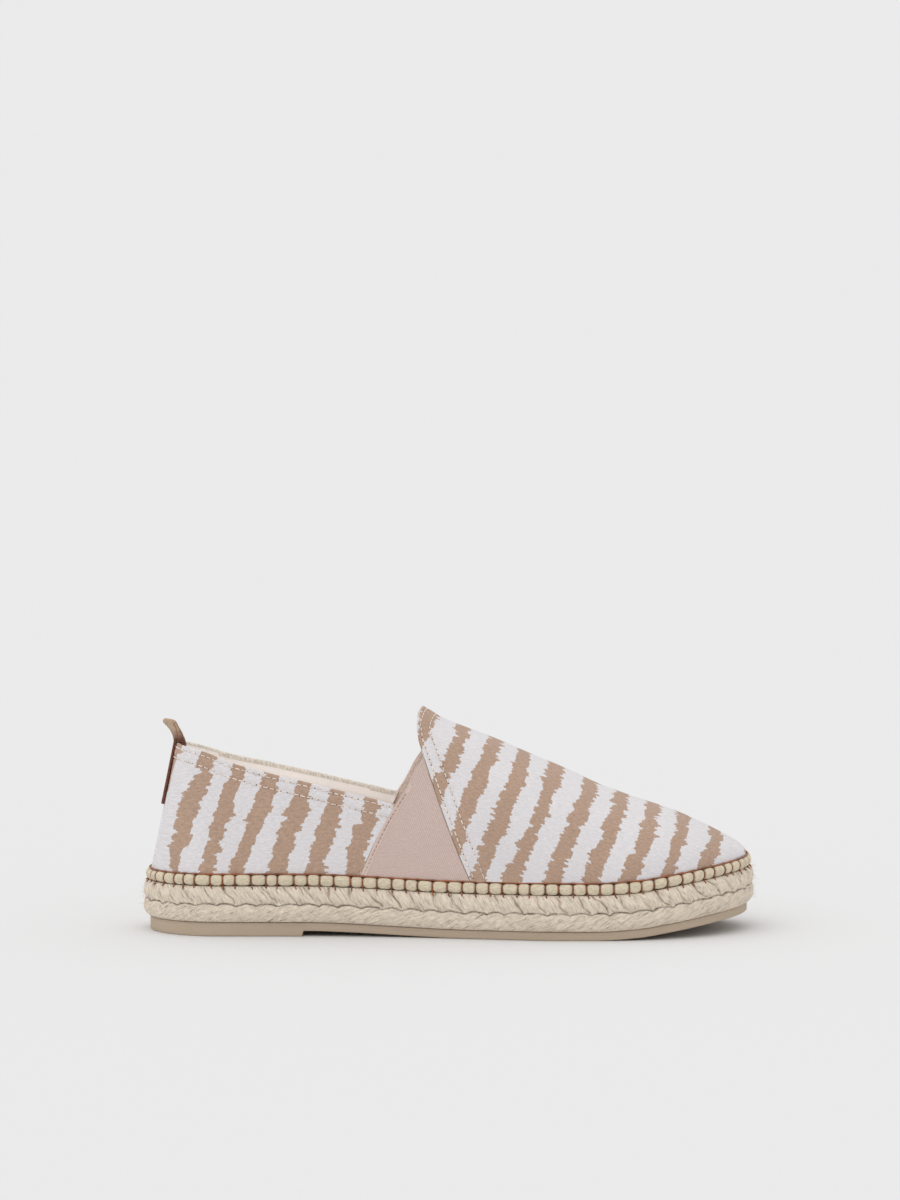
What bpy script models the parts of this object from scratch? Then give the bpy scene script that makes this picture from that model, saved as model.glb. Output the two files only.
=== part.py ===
# Espadrille for a right foot, empty and standing on its sole.
# The toe points to +X, the outer side of the foot is at -Y, and the floor is z = 0.
# The origin is on the floor, under the middle of the sole.

import math
from functools import lru_cache

import bmesh
import bpy
import numpy as np

MM = 0.001

# Driving sizes of the last
SOLE_LENGTH = 285.5 * MM
BALL_WIDTH = 103.0 * MM
HEEL_WIDTH = 71.0 * MM
INSTEP_RISE = 76.0 * MM     # from the seam up to the peak of the vamp
HEEL_RISE = 59.0 * MM       # from the seam up to the collar at the back
HEEL_LEAN = 12.2 * MM       # how far the back leans forward at the collar
TOE_SWING = 6.0 * MM        # how far the tip of the toe lies to the inner side
TOE_SPRING = 8.7 * MM       # how far the tip of the sole is lifted off the floor
TOE_REACH = 42.0 * MM       # length of the rounded toe, from its tip back along the ridge

# Driving sizes of the sole
RUBBER_THICKNESS = 4.0 * MM
RUBBER_INSET = 3.0 * MM     # the rubber ends this far inside the jute
RUBBER_ROUNDING = 0.5 * MM
HEEL_LIFT = 2.5 * MM        # extra rubber under the heel
HEEL_STEP_RUN = 0.6 * MM    # length of the small slope at the lift's front edge
JUTE_HEIGHT = 16.4 * MM
PLAIT_RELIEF = 0.9 * MM     # how far the strands of the plait stand out of its side
PLAIT_PITCH = 9.6 * MM      # from one strand of the plait to the next
PLAIT_SLANT = 5.0 * MM      # how far a strand moves along the sole over half its height
PLAIT_CURVE = 2.2 * MM      # how far the top and bottom edges of the jute turn in
CORD_DIAMETER = 5.0 * MM
CORD_PINCH = 0.55 * MM      # how deep the thread ties the cord in between two beads
CORD_INSET = 1.0 * MM       # the beads end this far inside the jute
BEAD_PITCH = 6.4 * MM
INSOLE_THICKNESS = 3.0 * MM

# Driving sizes of the upper
WALL = 2.0 * MM             # quarter: outside, lining and edge tape
FEATHER_INSET = 3.5 * MM    # the upper leaves the sole this far inside the jute
GORE_THICKNESS = 1.0 * MM
GORE_PROUD = 0.3 * MM       # the gore lies this far above the quarter
VAMP_PROUD = 0.7 * MM       # the folded rear edge of the vamp lies this far above it
TAB_WIDTH = 14.0 * MM
TAB_THICKNESS = 1.2 * MM
TAB_LOOP = 9.5 * MM         # height of the loop above the collar
TAB_LEAN = 5.0 * MM         # how far the loop falls back
TAB_TWIST = math.radians(18)

GAP = 0.3 * MM              # clearance between two pieces that touch
SKIRT_SLACK = 0.15 * MM     # extra room between the cord and the upper's turned edge

# How finely the forms are divided
EDGE_SAMPLES = 600
QUARTER_RIBS = 11
GORE_RIBS = 5
VAMP_RIBS = 19
WALL_ROWS = 10
CORD_SIDES = 6
BEAD_STEPS = 2
STRAND_STEPS = 3
TAB_SECTIONS = (-1, -0.5, 0, 0.5, 1)
SOLE_RUNGS = 34


def table(columns, *rows):
    """Hand-chosen shares of the sizes above, one array for each named column."""
    return {name: np.array(cells, dtype=float) for name, cells in zip(columns.split(), zip(*rows))}


# Outline of the sole: 0 is half the heel's width, 1 is half the ball's width.
SOLE_EDGE = table(
    "station outer inner",
    (0.00, 0.00, 0.00),
    (0.15, 0.00, -0.03),
    (0.30, 0.03, -0.13),
    (0.42, 0.22, -0.09),
    (0.55, 0.61, 0.26),
    (0.66, 0.95, 0.78),
    (0.75, 0.99, 1.01),
    (0.86, 0.84, 1.00),
    (1.00, 0.47, 0.78),
)
HEEL_ROUND = 0.13           # share of the length that the heel's arc takes
TOE_ROUND = 0.25            # share of the length that the toe's arc takes
TOE_BLUNTNESS = 2.3         # 2 is an ellipse, more is squarer

# Underside of the sole's sheet above the floor, as shares of heel lift and toe spring
GROUND = table(
    "station lift spring",
    (0.00, 1.00, 0.00),
    (0.27, 1.00, 0.00),
    (0.34, 0.78, 0.00),
    (0.42, 0.38, 0.00),
    (0.50, 0.06, 0.00),
    (0.55, 0.00, 0.00),
    (0.73, 0.00, 0.00),
    (0.80, 0.00, 0.12),
    (0.86, 0.00, 0.38),
    (0.91, 0.00, 0.62),
    (0.96, 0.00, 0.84),
    (1.00, 0.00, 1.00),
)
HEEL_LIFT_END = 0.264       # station of the lift's front edge

# Height of the last's crown above the seam, as shares of heel rise and instep rise.
# Behind the vamp the crown is where the leg would be, and only guides the side walls.
CROWN = table(
    "station heel instep",
    (0.000, 2.94, 0.000),
    (0.100, 2.77, 0.000),
    (0.200, 1.70, 0.595),
    (0.300, 0.70, 1.079),
    (0.380, 0.20, 1.160),
    (0.430, 0.00, 1.096),
    (0.459, 0.00, 1.000),
    (0.486, 0.00, 0.940),
    (0.535, 0.00, 0.869),
    (0.584, 0.00, 0.801),
    (0.633, 0.00, 0.723),
    (0.682, 0.00, 0.648),
    (0.748, 0.00, 0.532),
    (0.800, 0.00, 0.445),
    (0.845, 0.00, 0.368),
    (0.880, 0.00, 0.303),
    (0.912, 0.00, 0.242),
    (0.945, 0.00, 0.182),
    (1.000, 0.00, 0.090),
)

# Roundness of the sections: 2 is an ellipse, more is squarer
FULLNESS = table(
    "station height width",
    (0.00, 2.5, 2.5),
    (0.35, 2.5, 2.5),
    (0.46, 2.5, 2.15),
    (0.60, 2.3, 2.05),
    (0.75, 2.1, 2.0),
    (0.85, 2.3, 2.25),
    (1.00, 2.5, 2.5),
)
TOE_START = 0.70            # station where the ribs begin to lean towards the tip

# How much the heel's walls lean forward and draw in at the collar
HEEL_FORM = table(
    "station lean narrow",
    (0.00, 1.00, 0.20),
    (0.08, 0.54, 0.20),
    (0.16, 0.22, 0.17),
    (0.25, 0.03, 0.07),
    (0.34, 0.00, 0.00),
    (1.00, 0.00, 0.00),
)
LEAN_POWER = 1.0

# Ribs of each panel: station on the seam, station at the top edge, and how much of the
# crown's height the rib reaches. A reach of 1 ends on the ridge.
QUARTER = table(
    "foot head reach",
    (0.000, 0.000, 0.340),
    (0.080, 0.080, 0.335),
    (0.160, 0.165, 0.322),
    (0.240, 0.262, 0.321),
    (0.300, 0.345, 0.345),
    (0.337, 0.393, 0.368),
    (0.351, 0.412, 0.390),
)
GORE = table(
    "foot head reach",
    (0.354, 0.4275, 0.502),
    (0.440, 0.4430, 0.620),
    (0.530, 0.4555, 0.729),
)
VAMP = table(
    "foot head reach",
    (0.533, 0.4578, 0.739),
    (0.549, 0.4485, 0.824),
    (0.566, 0.4470, 0.888),
    (0.583, 0.4515, 0.952),
    (0.600, 0.4594, 1.000),
    (0.660, 0.5600, 1.000),
    (0.720, 0.6650, 1.000),
    (0.780, 0.7650, 1.000),
    (0.840, 0.8350, 1.000),
    (1.000, 1.0000, 1.000),
)
VAMP_EDGE_ROWS = 5          # rows of the table that end on the vamp's rear edge
VAMP_FADE_END = 0.74        # station where the thicker rear edge has run out

# Side of the jute, from its bottom edge to its top edge
PLAIT = table(
    "height curve relief slant",
    (0.00, 1.00, 0.0, 0.00),
    (0.12, 0.25, 0.6, 0.30),
    (0.31, 0.00, 1.0, 0.60),
    (0.50, 0.70, 0.3, 1.00),
    (0.69, 0.00, 1.0, 0.60),
    (0.89, 0.25, 0.6, 0.25),
    (1.00, 1.00, 0.0, 0.00),
)


def slopes(x, y):
    """Slope at each row, so that a curve through the rows never overshoots them."""
    rise = np.diff(y) / np.diff(x)
    before, after = rise[:-1], rise[1:]
    same_way = before * after > 0
    middle = np.where(same_way, 2 * before * after / np.where(same_way, before + after, 1), 0)
    return np.concatenate([rise[:1], middle, rise[-1:]])


def smooth(rows, column, at, key="station"):
    """Reads one column of a table between its rows, on a smooth curve."""
    x, y = rows[key], rows[column]
    at = np.clip(at, x[0], x[-1])
    slope = slopes(x, y)
    i = np.clip(np.searchsorted(x, at, side="right") - 1, 0, len(x) - 2)
    step = x[i + 1] - x[i]
    t = (at - x[i]) / step
    start = (1 + 2 * t) * (1 - t) ** 2 * y[i] + t * (1 - t) ** 2 * step * slope[i]
    end = t ** 2 * (3 - 2 * t) * y[i + 1] + t ** 2 * (t - 1) * step * slope[i + 1]
    return start + end


def blend(a, b, t):
    return a + (b - a) * t


# The sole's outline


def round_ends(station):
    """Share of the width that is left where heel and toe round off."""
    heel = np.clip((HEEL_ROUND - station) / HEEL_ROUND, 0, 1)
    toe = np.clip((station - 1 + TOE_ROUND) / TOE_ROUND, 0, 1)
    return np.sqrt(1 - heel ** 2) * (1 - toe ** TOE_BLUNTNESS) ** (1 / TOE_BLUNTNESS)


def raw_side(side, station):
    """Distance of one side of the outline from the heel's centre line, outer side negative."""
    half = blend(HEEL_WIDTH, BALL_WIDTH, smooth(SOLE_EDGE, side, station)) / 2
    sign = -1 if side == "outer" else 1
    middle = TOE_SWING * station
    return middle + (sign * half - middle) * round_ends(station)


@lru_cache(None)
def middle_shift():
    """Moves the outline so that its widest points lie evenly about y = 0."""
    station = np.linspace(0, 1, EDGE_SAMPLES)
    return (raw_side("outer", station).min() + raw_side("inner", station).max()) / 2


def axis_y(x):
    """The line from the middle of the heel to the tip of the toe."""
    return TOE_SWING * (x / SOLE_LENGTH + 0.5) - middle_shift()


@lru_cache(None)
def rail(side):
    """One side of the outline from heel to toe: share of the way, point and outward normal."""
    station = (1 - np.cos(np.linspace(0, math.pi, EDGE_SAMPLES))) / 2
    x = (station - 0.5) * SOLE_LENGTH
    y = raw_side(side, station) - middle_shift()
    steps = np.hypot(np.diff(x), np.diff(y))
    way = np.concatenate([[0], np.cumsum(steps)])
    along_x, along_y = np.gradient(x, way), np.gradient(y, way)
    sign = 1 if side == "outer" else -1
    normal_x, normal_y = sign * along_y, -sign * along_x
    normal_x[[0, -1]], normal_y[[0, -1]] = (-1, 1), (0, 0)
    return {"length": way[-1], "share": way / way[-1], "station": station,
            "x": x, "y": y, "normal_x": normal_x, "normal_y": normal_y}


def edge(side, share, inset):
    """A point of the outline, moved in by the inset."""
    line = rail(side)
    x, y, normal_x, normal_y = (np.interp(share, line["share"], line[key])
                                for key in ("x", "y", "normal_x", "normal_y"))
    size = math.hypot(normal_x, normal_y)
    return x - inset * normal_x / size, y - inset * normal_y / size


def share_at(side, station):
    return np.interp(station, rail(side)["station"], rail(side)["share"])


def station_at(side, share):
    return np.interp(share, rail(side)["share"], rail(side)["station"])


def ring(turn, inset):
    """A point of the whole outline: heel 0, along the outer side to the toe 1, and back to 2."""
    turn = turn % 2
    return edge("outer", turn, inset) if turn <= 1 else edge("inner", 2 - turn, inset)


# Heights of the layers


def sheet_bottom(x):
    station = x / SOLE_LENGTH + 0.5
    return HEEL_LIFT * smooth(GROUND, "lift", station) + TOE_SPRING * smooth(GROUND, "spring", station)


def jute_bottom(x):
    return sheet_bottom(x) + RUBBER_THICKNESS + GAP


def jute_top(x):
    return jute_bottom(x) + JUTE_HEIGHT


def seam(x):
    """Where the upper comes out over the cord."""
    return jute_top(x) + CORD_DIAMETER + 2 * GAP


def crown(x):
    station = x / SOLE_LENGTH + 0.5
    return HEEL_RISE * smooth(CROWN, "heel", station) + INSTEP_RISE * smooth(CROWN, "instep", station)


# The last's form


def form(side, share, turn, inset=0.0):
    """A point on the last. Turn runs from 0 at the seam to a quarter circle on the ridge."""
    station = station_at(side, share)
    foot_x, foot_y = edge(side, share, FEATHER_INSET + inset)
    draw = max(math.cos(turn), 0.0) ** (2 / smooth(FULLNESS, "width", station))
    rise = math.sin(turn) ** (2 / smooth(FULLNESS, "height", station))
    toe = max(0.0, (station - TOE_START) / (1 - TOE_START))
    centre_x = (station - 0.5) * SOLE_LENGTH - TOE_REACH * toe ** 2
    x = blend(centre_x, foot_x, draw)
    height = rise * (crown(x) - inset)
    lean = (max(height, 0.0) / HEEL_RISE) ** LEAN_POWER
    width = draw * (1 - smooth(HEEL_FORM, "narrow", station) * lean)
    y = axis_y(x) + (foot_y - axis_y(foot_x)) * width
    z = seam(x) + height
    return x + HEEL_LEAN * smooth(HEEL_FORM, "lean", station) * lean, y, z


def turn_to(station, reach):
    """The turn at which a rib has climbed this share of the crown's height."""
    return math.asin(min(reach, 1.0) ** (smooth(FULLNESS, "height", station) / 2))


def rib_point(side, rib, climb, inset, start=0.0):
    """A point of a rib: climb runs from 0 at its foot to 1 at the top edge."""
    foot, head, reach = rib
    top = turn_to(head, reach)
    turn = blend(start, top, climb)
    height = (math.sin(turn) / math.sin(top)) ** (2 / smooth(FULLNESS, "height", head))
    return form(side, share_at(side, blend(foot, head, height)), turn, inset)


def ribs_of(panel, feet):
    """Foot, head and reach of the ribs that stand at these feet."""
    ribs = []
    for foot in feet:
        reach = round(float(smooth(panel, "reach", foot, "foot")), 6)
        ribs.append((foot, smooth(panel, "head", foot, "foot"), reach))
    return ribs


def evenly_round(first, last, count):
    """Stations that lie evenly along the outer edge, also where it rounds heel or toe."""
    shares = np.linspace(share_at("outer", first), share_at("outer", last), count)
    return [station_at("outer", share) for share in shares]


# Mesh helpers


def finish_mesh(name, points, faces, material):
    """Joins points and faces to one closed object with its faces pointing out."""
    mesh = bpy.data.meshes.new(name)
    work = bmesh.new()
    corners = [work.verts.new(point) for point in points]
    for face in faces:
        work.faces.new([corners[i] for i in face])
    bmesh.ops.remove_doubles(work, verts=work.verts, dist=0.001 * MM)
    bmesh.ops.recalc_face_normals(work, faces=work.faces)
    work.to_mesh(mesh)
    work.free()
    mesh.shade_smooth()
    mesh.set_sharp_from_angle(angle=math.radians(40))
    piece = bpy.data.objects.new(name, mesh)
    piece.data.materials.append(material)
    bpy.context.collection.objects.link(piece)
    return piece


def make_material(name, colour, roughness):
    material = bpy.data.materials.new(name)
    material.use_nodes = True
    shader = material.node_tree.nodes["Principled BSDF"]
    shader.inputs["Base Color"].default_value = (*colour, 1.0)
    shader.inputs["Roughness"].default_value = roughness
    shader.inputs["Metallic"].default_value = 0.0
    return material


def bands(rings, closed=False):
    """Quads between neighbouring rings of points; closed joins the last ring to the first."""
    count = len(rings[0])
    faces = []
    pairs = range(len(rings) if closed else len(rings) - 1)
    for row in pairs:
        below, above = row * count, (row + 1) % len(rings) * count
        for i in range(count):
            j = (i + 1) % count
            faces.append((below + i, below + j, above + j, above + i))
    return faces


def rungs(first, count):
    """Closes a ring that starts at the heel with strips across the sole."""
    half = count // 2
    faces = [(first, first + 1, first + count - 1), (first + half - 1, first + half, first + half + 1)]
    for i in range(1, half - 1):
        faces.append((first + i, first + i + 1, first + count - i - 1, first + count - i))
    return faces


def stacked(name, rings, material):
    """A plate whose side runs through the rings, closed below and above."""
    count = len(rings[0])
    faces = bands(rings) + rungs(0, count) + rungs((len(rings) - 1) * count, count)
    return finish_mesh(name, [point for points in rings for point in points], faces, material)


# The pieces of the sole


def sole_stations(count, extra=()):
    """Stations from heel to toe, close together where the outline turns."""
    return sorted(set((1 - math.cos(math.pi * k / count)) / 2 for k in range(count + 1)) | set(extra))


def plate_ring(stations, inset, height):
    """One closed ring of points at the heights that a function of x gives."""
    there = [edge("outer", share_at("outer", station), inset) for station in stations]
    back = [edge("inner", share_at("inner", station), inset) for station in stations[-2:0:-1]]
    return [(x, y, height(x)) for x, y in there + back]


def make_outsole(material):
    lift_end = (HEEL_LIFT_END - 0.5) * SOLE_LENGTH

    def tread(x):
        """Underside: flat on the floor up to the lift's front edge."""
        return 0.0 if x < lift_end else sheet_bottom(x)

    def top(x):
        return sheet_bottom(x) + RUBBER_THICKNESS

    half_run = HEEL_STEP_RUN / SOLE_LENGTH / 2
    stations = sole_stations(SOLE_RUNGS, (HEEL_LIFT_END - half_run, HEEL_LIFT_END + half_run))
    edge_in = RUBBER_INSET + RUBBER_ROUNDING
    rings = [
        plate_ring(stations, edge_in, tread),
        plate_ring(stations, RUBBER_INSET, lambda x: tread(x) + RUBBER_ROUNDING),
        plate_ring(stations, RUBBER_INSET, lambda x: top(x) - RUBBER_ROUNDING),
        plate_ring(stations, edge_in, top),
    ]
    return stacked("outsole", rings, material)


def mean_side():
    return (rail("outer")["length"] + rail("inner")["length"]) / 2


def make_jute_sole(material):
    """The plait on edge: two rows of strands that meet in a groove at half height."""
    steps = 2 * STRAND_STEPS * round(mean_side() / PLAIT_PITCH)
    slant = PLAIT_SLANT / mean_side()
    rings = []
    for height, curve, relief, lean in zip(*(PLAIT[key] for key in ("height", "curve", "relief", "slant"))):
        points = []
        for i in range(steps):
            tied = i % STRAND_STEPS == 0
            inset = PLAIT_CURVE * curve + PLAIT_RELIEF * relief * tied
            x, y = ring(2 * i / steps + slant * lean, inset)
            points.append((x, y, blend(jute_bottom(x), jute_top(x), height)))
        rings.append(points)
    return stacked("jute_sole", rings, material)


def make_seam_cord(material):
    """A ring of beads: the cord is full between two stitches and pinched under each."""
    steps = 2 * BEAD_STEPS * round(mean_side() / BEAD_PITCH)
    sections = []
    for i in range(steps):
        radius = CORD_DIAMETER / 2 - CORD_PINCH * (i % BEAD_STEPS == 0)
        points = []
        for k in range(CORD_SIDES):
            angle = math.tau * (k + 0.5) / CORD_SIDES
            x, y = ring(2 * i / steps, CORD_INSET + CORD_DIAMETER / 2 - radius * math.cos(angle))
            height = GAP + CORD_DIAMETER / 2 + radius * math.sin(angle)
            points.append((x, y, jute_top(x) + height))
        sections.append(points)
    points = [point for section in sections for point in section]
    return finish_mesh("seam_cord", points, bands(sections, closed=True), material)


def skirt_radius():
    """Radius of the upper's turned edge around the middle of the cord, on its outside."""
    return CORD_DIAMETER / 2 + GAP + SKIRT_SLACK


# The upper and what is sewn to it


def upper_ribs():
    """Every rib from heel to toe with the inset of its outer face."""
    tab_shares = np.array(TAB_SECTIONS) * TAB_WIDTH / 2 / rail("outer")["length"]
    tab_feet = [station_at("outer", share) for share in tab_shares if share >= 0]
    quarter = ribs_of(QUARTER, tab_feet + evenly_round(tab_feet[-1], QUARTER["foot"][-1], QUARTER_RIBS)[1:])
    gore = ribs_of(GORE, np.linspace(GORE["foot"][0], GORE["foot"][-1], GORE_RIBS))
    edge_feet = list(VAMP["foot"][:VAMP_EDGE_ROWS])
    front_feet = evenly_round(edge_feet[-1], VAMP["foot"][-1], VAMP_RIBS)[1:]
    vamp = ribs_of(VAMP, edge_feet + front_feet)
    seat = GORE_THICKNESS + GAP - GORE_PROUD
    ribs = [(rib, 0.0) for rib in quarter] + [(rib, seat) for rib in gore]
    for rib in vamp:
        fade = np.clip((VAMP_FADE_END - rib[0]) / (VAMP_FADE_END - edge_feet[-1]), 0, 1)
        ribs.append((rib, -VAMP_PROUD * fade * fade * (3 - 2 * fade)))
    return ribs


def skirt_points(side, share, radius, angles):
    """The upper's edge, turned in behind the cord, from the jute up to the seam."""
    centre_inset = CORD_INSET + CORD_DIAMETER / 2
    centre_height = GAP + CORD_DIAMETER / 2
    places = [(centre_inset + radius, GAP)]
    for angle in angles:
        bend = math.radians(angle)
        places.append((centre_inset - radius * math.cos(bend), centre_height + radius * math.sin(bend)))
    points = []
    for inset, height in places:
        x, y = edge(side, share, inset)
        points.append((x, y, jute_top(x) + height))
    return points


def upper_column(side, rib, outer_inset):
    """Outer and inner points of one rib, both from the bottom edge to the top edge."""
    share = share_at(side, rib[0])
    climbs = np.linspace(0, 1, WALL_ROWS + 1)
    foot_x = edge(side, share, FEATHER_INSET)[0]
    start = turn_to(rib[0], WALL / crown(foot_x))
    outer = skirt_points(side, share, skirt_radius(), (180, 140, 105))
    outer += [rib_point(side, rib, climb, outer_inset) for climb in climbs]
    inner = skirt_points(side, share, skirt_radius() + WALL, (180, 150, 120))
    inner += [rib_point(side, rib, climb, WALL, start) for climb in climbs]
    return outer, inner


def make_upper(material):
    """One hollow wall: both sides share the rib of the heel, the ridge and the rib of the toe."""
    points, faces = [], []
    ribs = upper_ribs()
    for side in ("outer", "inner"):
        columns = [upper_column(side, rib, inset) for rib, inset in ribs]
        rows = len(columns[0][0])
        first = len(points)
        for outer, inner in columns:
            points += outer + inner
        for i in range(len(columns) - 1):
            out_a, out_b = first + 2 * rows * i, first + 2 * rows * (i + 1)
            in_a, in_b = out_a + rows, out_b + rows
            for j in range(rows - 1):
                faces.append((out_a + j, out_b + j, out_b + j + 1, out_a + j + 1))
                faces.append((in_a + j, in_a + j + 1, in_b + j + 1, in_b + j))
            faces.append((out_a, in_a, in_b, out_b))
            if min(ribs[i][0][2], ribs[i + 1][0][2]) < 1:
                top = rows - 1
                faces.append((out_a + top, out_b + top, in_b + top, in_a + top))
    return finish_mesh("upper", points, faces, material)


def make_insole(material):
    stations = [rib[0] for rib, outer_inset in upper_ribs()]
    inset = CORD_INSET + CORD_DIAMETER / 2 + skirt_radius() + WALL + GAP
    bottom = plate_ring(stations, inset, lambda x: jute_top(x) + GAP)
    top = plate_ring(stations, inset, lambda x: jute_top(x) + GAP + INSOLE_THICKNESS)
    return stacked("insole", [bottom, top], material)


def make_gore(side, material):
    """Triangle of elastic that lies in its seat between quarter and vamp."""
    clear = 2 * GAP / SOLE_LENGTH
    feet = np.linspace(GORE["foot"][0], GORE["foot"][-1], GORE_RIBS)
    climbs = np.linspace(0, 1, WALL_ROWS + 1)
    columns = []
    for place, (foot, head, reach) in zip(np.linspace(1, -1, GORE_RIBS), ribs_of(GORE, feet)):
        rib = (foot + clear * place, head + clear * place, reach)
        start = turn_to(foot, GAP / crown((foot - 0.5) * SOLE_LENGTH))
        face = [rib_point(side, rib, climb, -GORE_PROUD, start) for climb in climbs]
        back = [rib_point(side, rib, climb, GORE_THICKNESS - GORE_PROUD, start) for climb in climbs]
        columns.append(face + back[::-1])
    count = len(columns[0])
    faces = bands(columns)
    half = count // 2
    for first in (0, (len(columns) - 1) * count):
        for j in range(half - 1):
            faces.append((first + j, first + j + 1, first + count - j - 2, first + count - j - 1))
    points = [point for column in columns for point in column]
    return finish_mesh("gore_" + side, points, faces, material)


def tab_section(across):
    """Section of the pull tab at one place across its width, as a closed line of points."""
    side = "outer" if across < 0 else "inner"
    share = abs(across) / rail(side)["length"]
    crown_here = crown(edge(side, share, FEATHER_INSET)[0])

    def on_wall(height, inset):
        turn = turn_to(0.0, height * HEEL_RISE / crown_here)
        return np.array(form(side, share, turn, inset))

    def loop_line(rise):
        """Middle of the loop, its half thickness and the direction of its rear face."""
        middle = on_wall(1.0, WALL / 2)
        middle += (-TAB_LEAN * rise ** 1.6 - across * math.sin(TAB_TWIST) * rise, 0, TAB_LOOP * rise)
        slope = -1.6 * TAB_LEAN * rise ** 0.6 / TAB_LOOP
        rear = np.array((-1, 0, slope)) / math.hypot(1, slope)
        thickness = blend(WALL / 2 + GAP + TAB_THICKNESS, TAB_THICKNESS, rise)
        return middle, thickness, rear

    down_back = np.linspace(0.5, 1.0, 6)
    down_front = np.linspace(0.84, 1.0, 3)
    rises = (0.3, 0.55, 0.8, 1.0)
    lift = np.array((0, 0, GAP))
    line = [on_wall(height, -GAP - TAB_THICKNESS) for height in down_back]
    for rise in rises:
        middle, thickness, rear = loop_line(rise)
        line.append(middle + rear * thickness)
    middle, thickness, rear = loop_line(1.0)
    tip = np.array((rear[2], 0, -rear[0]))
    line.append(middle + (tip + rear * 0.6) * thickness * 0.8)
    line.append(middle + (tip - rear * 0.6) * thickness * 0.8)
    for rise in reversed(rises):
        middle, thickness, rear = loop_line(rise)
        line.append(middle - rear * thickness)
    line += [on_wall(height, WALL + GAP + TAB_THICKNESS) for height in down_front[::-1]]
    line += [on_wall(height, WALL + GAP) for height in down_front]
    line += [on_wall(1.0, WALL + GAP) + lift, on_wall(1.0, -GAP) + lift]
    line += [on_wall(height, -GAP) for height in down_back[::-1]]
    return [tuple(point) for point in line]


def make_pull_tab(material):
    sections = [tab_section(share * TAB_WIDTH / 2) for share in TAB_SECTIONS]
    count = len(sections[0])
    last = (len(sections) - 1) * count
    faces = bands(sections) + [tuple(range(count)), tuple(range(last, last + count))]
    points = [point for section in sections for point in section]
    return finish_mesh("pull_tab", points, faces, material)


def clear_scene():
    for old in list(bpy.data.objects):
        bpy.data.objects.remove(old, do_unlink=True)


def main():
    clear_scene()
    rubber = make_material("rubber", (0.40, 0.33, 0.25), 0.75)
    jute = make_material("jute", (0.61, 0.52, 0.38), 0.95)
    cord = make_material("cord", (0.55, 0.46, 0.32), 0.9)
    canvas = make_material("canvas", (0.62, 0.55, 0.49), 0.9)
    elastic = make_material("elastic", (0.58, 0.46, 0.40), 0.85)
    suede = make_material("suede", (0.16, 0.07, 0.04), 0.9)
    lining = make_material("lining", (0.75, 0.66, 0.55), 0.9)
    make_outsole(rubber)
    make_jute_sole(jute)
    make_seam_cord(cord)
    make_upper(canvas)
    make_gore("outer", elastic)
    make_gore("inner", elastic)
    make_insole(lining)
    make_pull_tab(suede)


main()
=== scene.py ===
# %% [markdown]
# # A striped espadrille
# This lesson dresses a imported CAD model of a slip-on summer shoe: a right shoe, empty, standing on
# its sole. The toe points to +X, the outer side of the foot lies at -Y, and the floor is z = 0.
# The frame is loaded first and never moved. Each piece is then made at its real size around it.

# %% Load the frame
import math
from functools import lru_cache

import bmesh
import bpy
import numpy as np
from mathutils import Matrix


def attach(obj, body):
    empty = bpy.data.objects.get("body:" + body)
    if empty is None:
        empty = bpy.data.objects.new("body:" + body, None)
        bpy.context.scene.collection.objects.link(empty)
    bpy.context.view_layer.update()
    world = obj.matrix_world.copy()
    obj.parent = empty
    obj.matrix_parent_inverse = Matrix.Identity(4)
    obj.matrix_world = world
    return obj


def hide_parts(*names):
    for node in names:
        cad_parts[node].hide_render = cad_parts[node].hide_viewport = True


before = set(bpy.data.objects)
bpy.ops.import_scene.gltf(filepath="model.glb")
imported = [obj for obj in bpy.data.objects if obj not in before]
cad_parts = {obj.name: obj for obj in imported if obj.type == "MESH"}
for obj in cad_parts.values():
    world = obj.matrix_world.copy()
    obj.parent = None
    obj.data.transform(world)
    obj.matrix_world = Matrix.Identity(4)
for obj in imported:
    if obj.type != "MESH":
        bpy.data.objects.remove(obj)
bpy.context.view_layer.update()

MM = 0.001
print("solids:", ", ".join(sorted(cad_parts)))

# %% [markdown]
# ## The camera
# The shoe was photographed from its outer side with a long lens, a little above the floor. A long
# lens keeps the sole's line nearly straight, so the camera stands far away and is zoomed in. The
# shoe sits below the middle of the picture, so the camera is tipped less than it would need to be
# to look straight at it.

# %% Place the camera
TARGET_HEIGHT = 50 * MM
CAMERA_DISTANCE = 1800 * MM
CAMERA_ELEVATION = math.radians(6)
CAMERA_TIP = math.radians(2.709)
CAMERA_SIDESTEP = 0.47 * MM
CAMERA_LENS = 153.6             # Blender counts lenses in millimetres

lens = bpy.data.cameras.new("camera")
lens.sensor_fit = "HORIZONTAL"
lens.sensor_width = 36
lens.lens = CAMERA_LENS
camera = bpy.data.objects.new("camera", lens)
bpy.context.collection.objects.link(camera)
camera.location = (CAMERA_SIDESTEP,
                   -CAMERA_DISTANCE * math.cos(CAMERA_ELEVATION),
                   TARGET_HEIGHT + CAMERA_DISTANCE * math.sin(CAMERA_ELEVATION))
camera.rotation_euler = (math.pi / 2 - CAMERA_TIP, 0, 0)
bpy.context.scene.camera = camera
bpy.context.scene.view_settings.view_transform = "Standard"
print("camera", round(lens.lens, 1), "mm lens at", [round(v, 3) for v in camera.location])

# %% [markdown]
# ## Building materials from nodes
# Every finish here is worked out by nodes, with no pictures. A small helper adds a node, sets its
# values, and links whatever comes from another node, so that a finish reads like a recipe.


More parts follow.
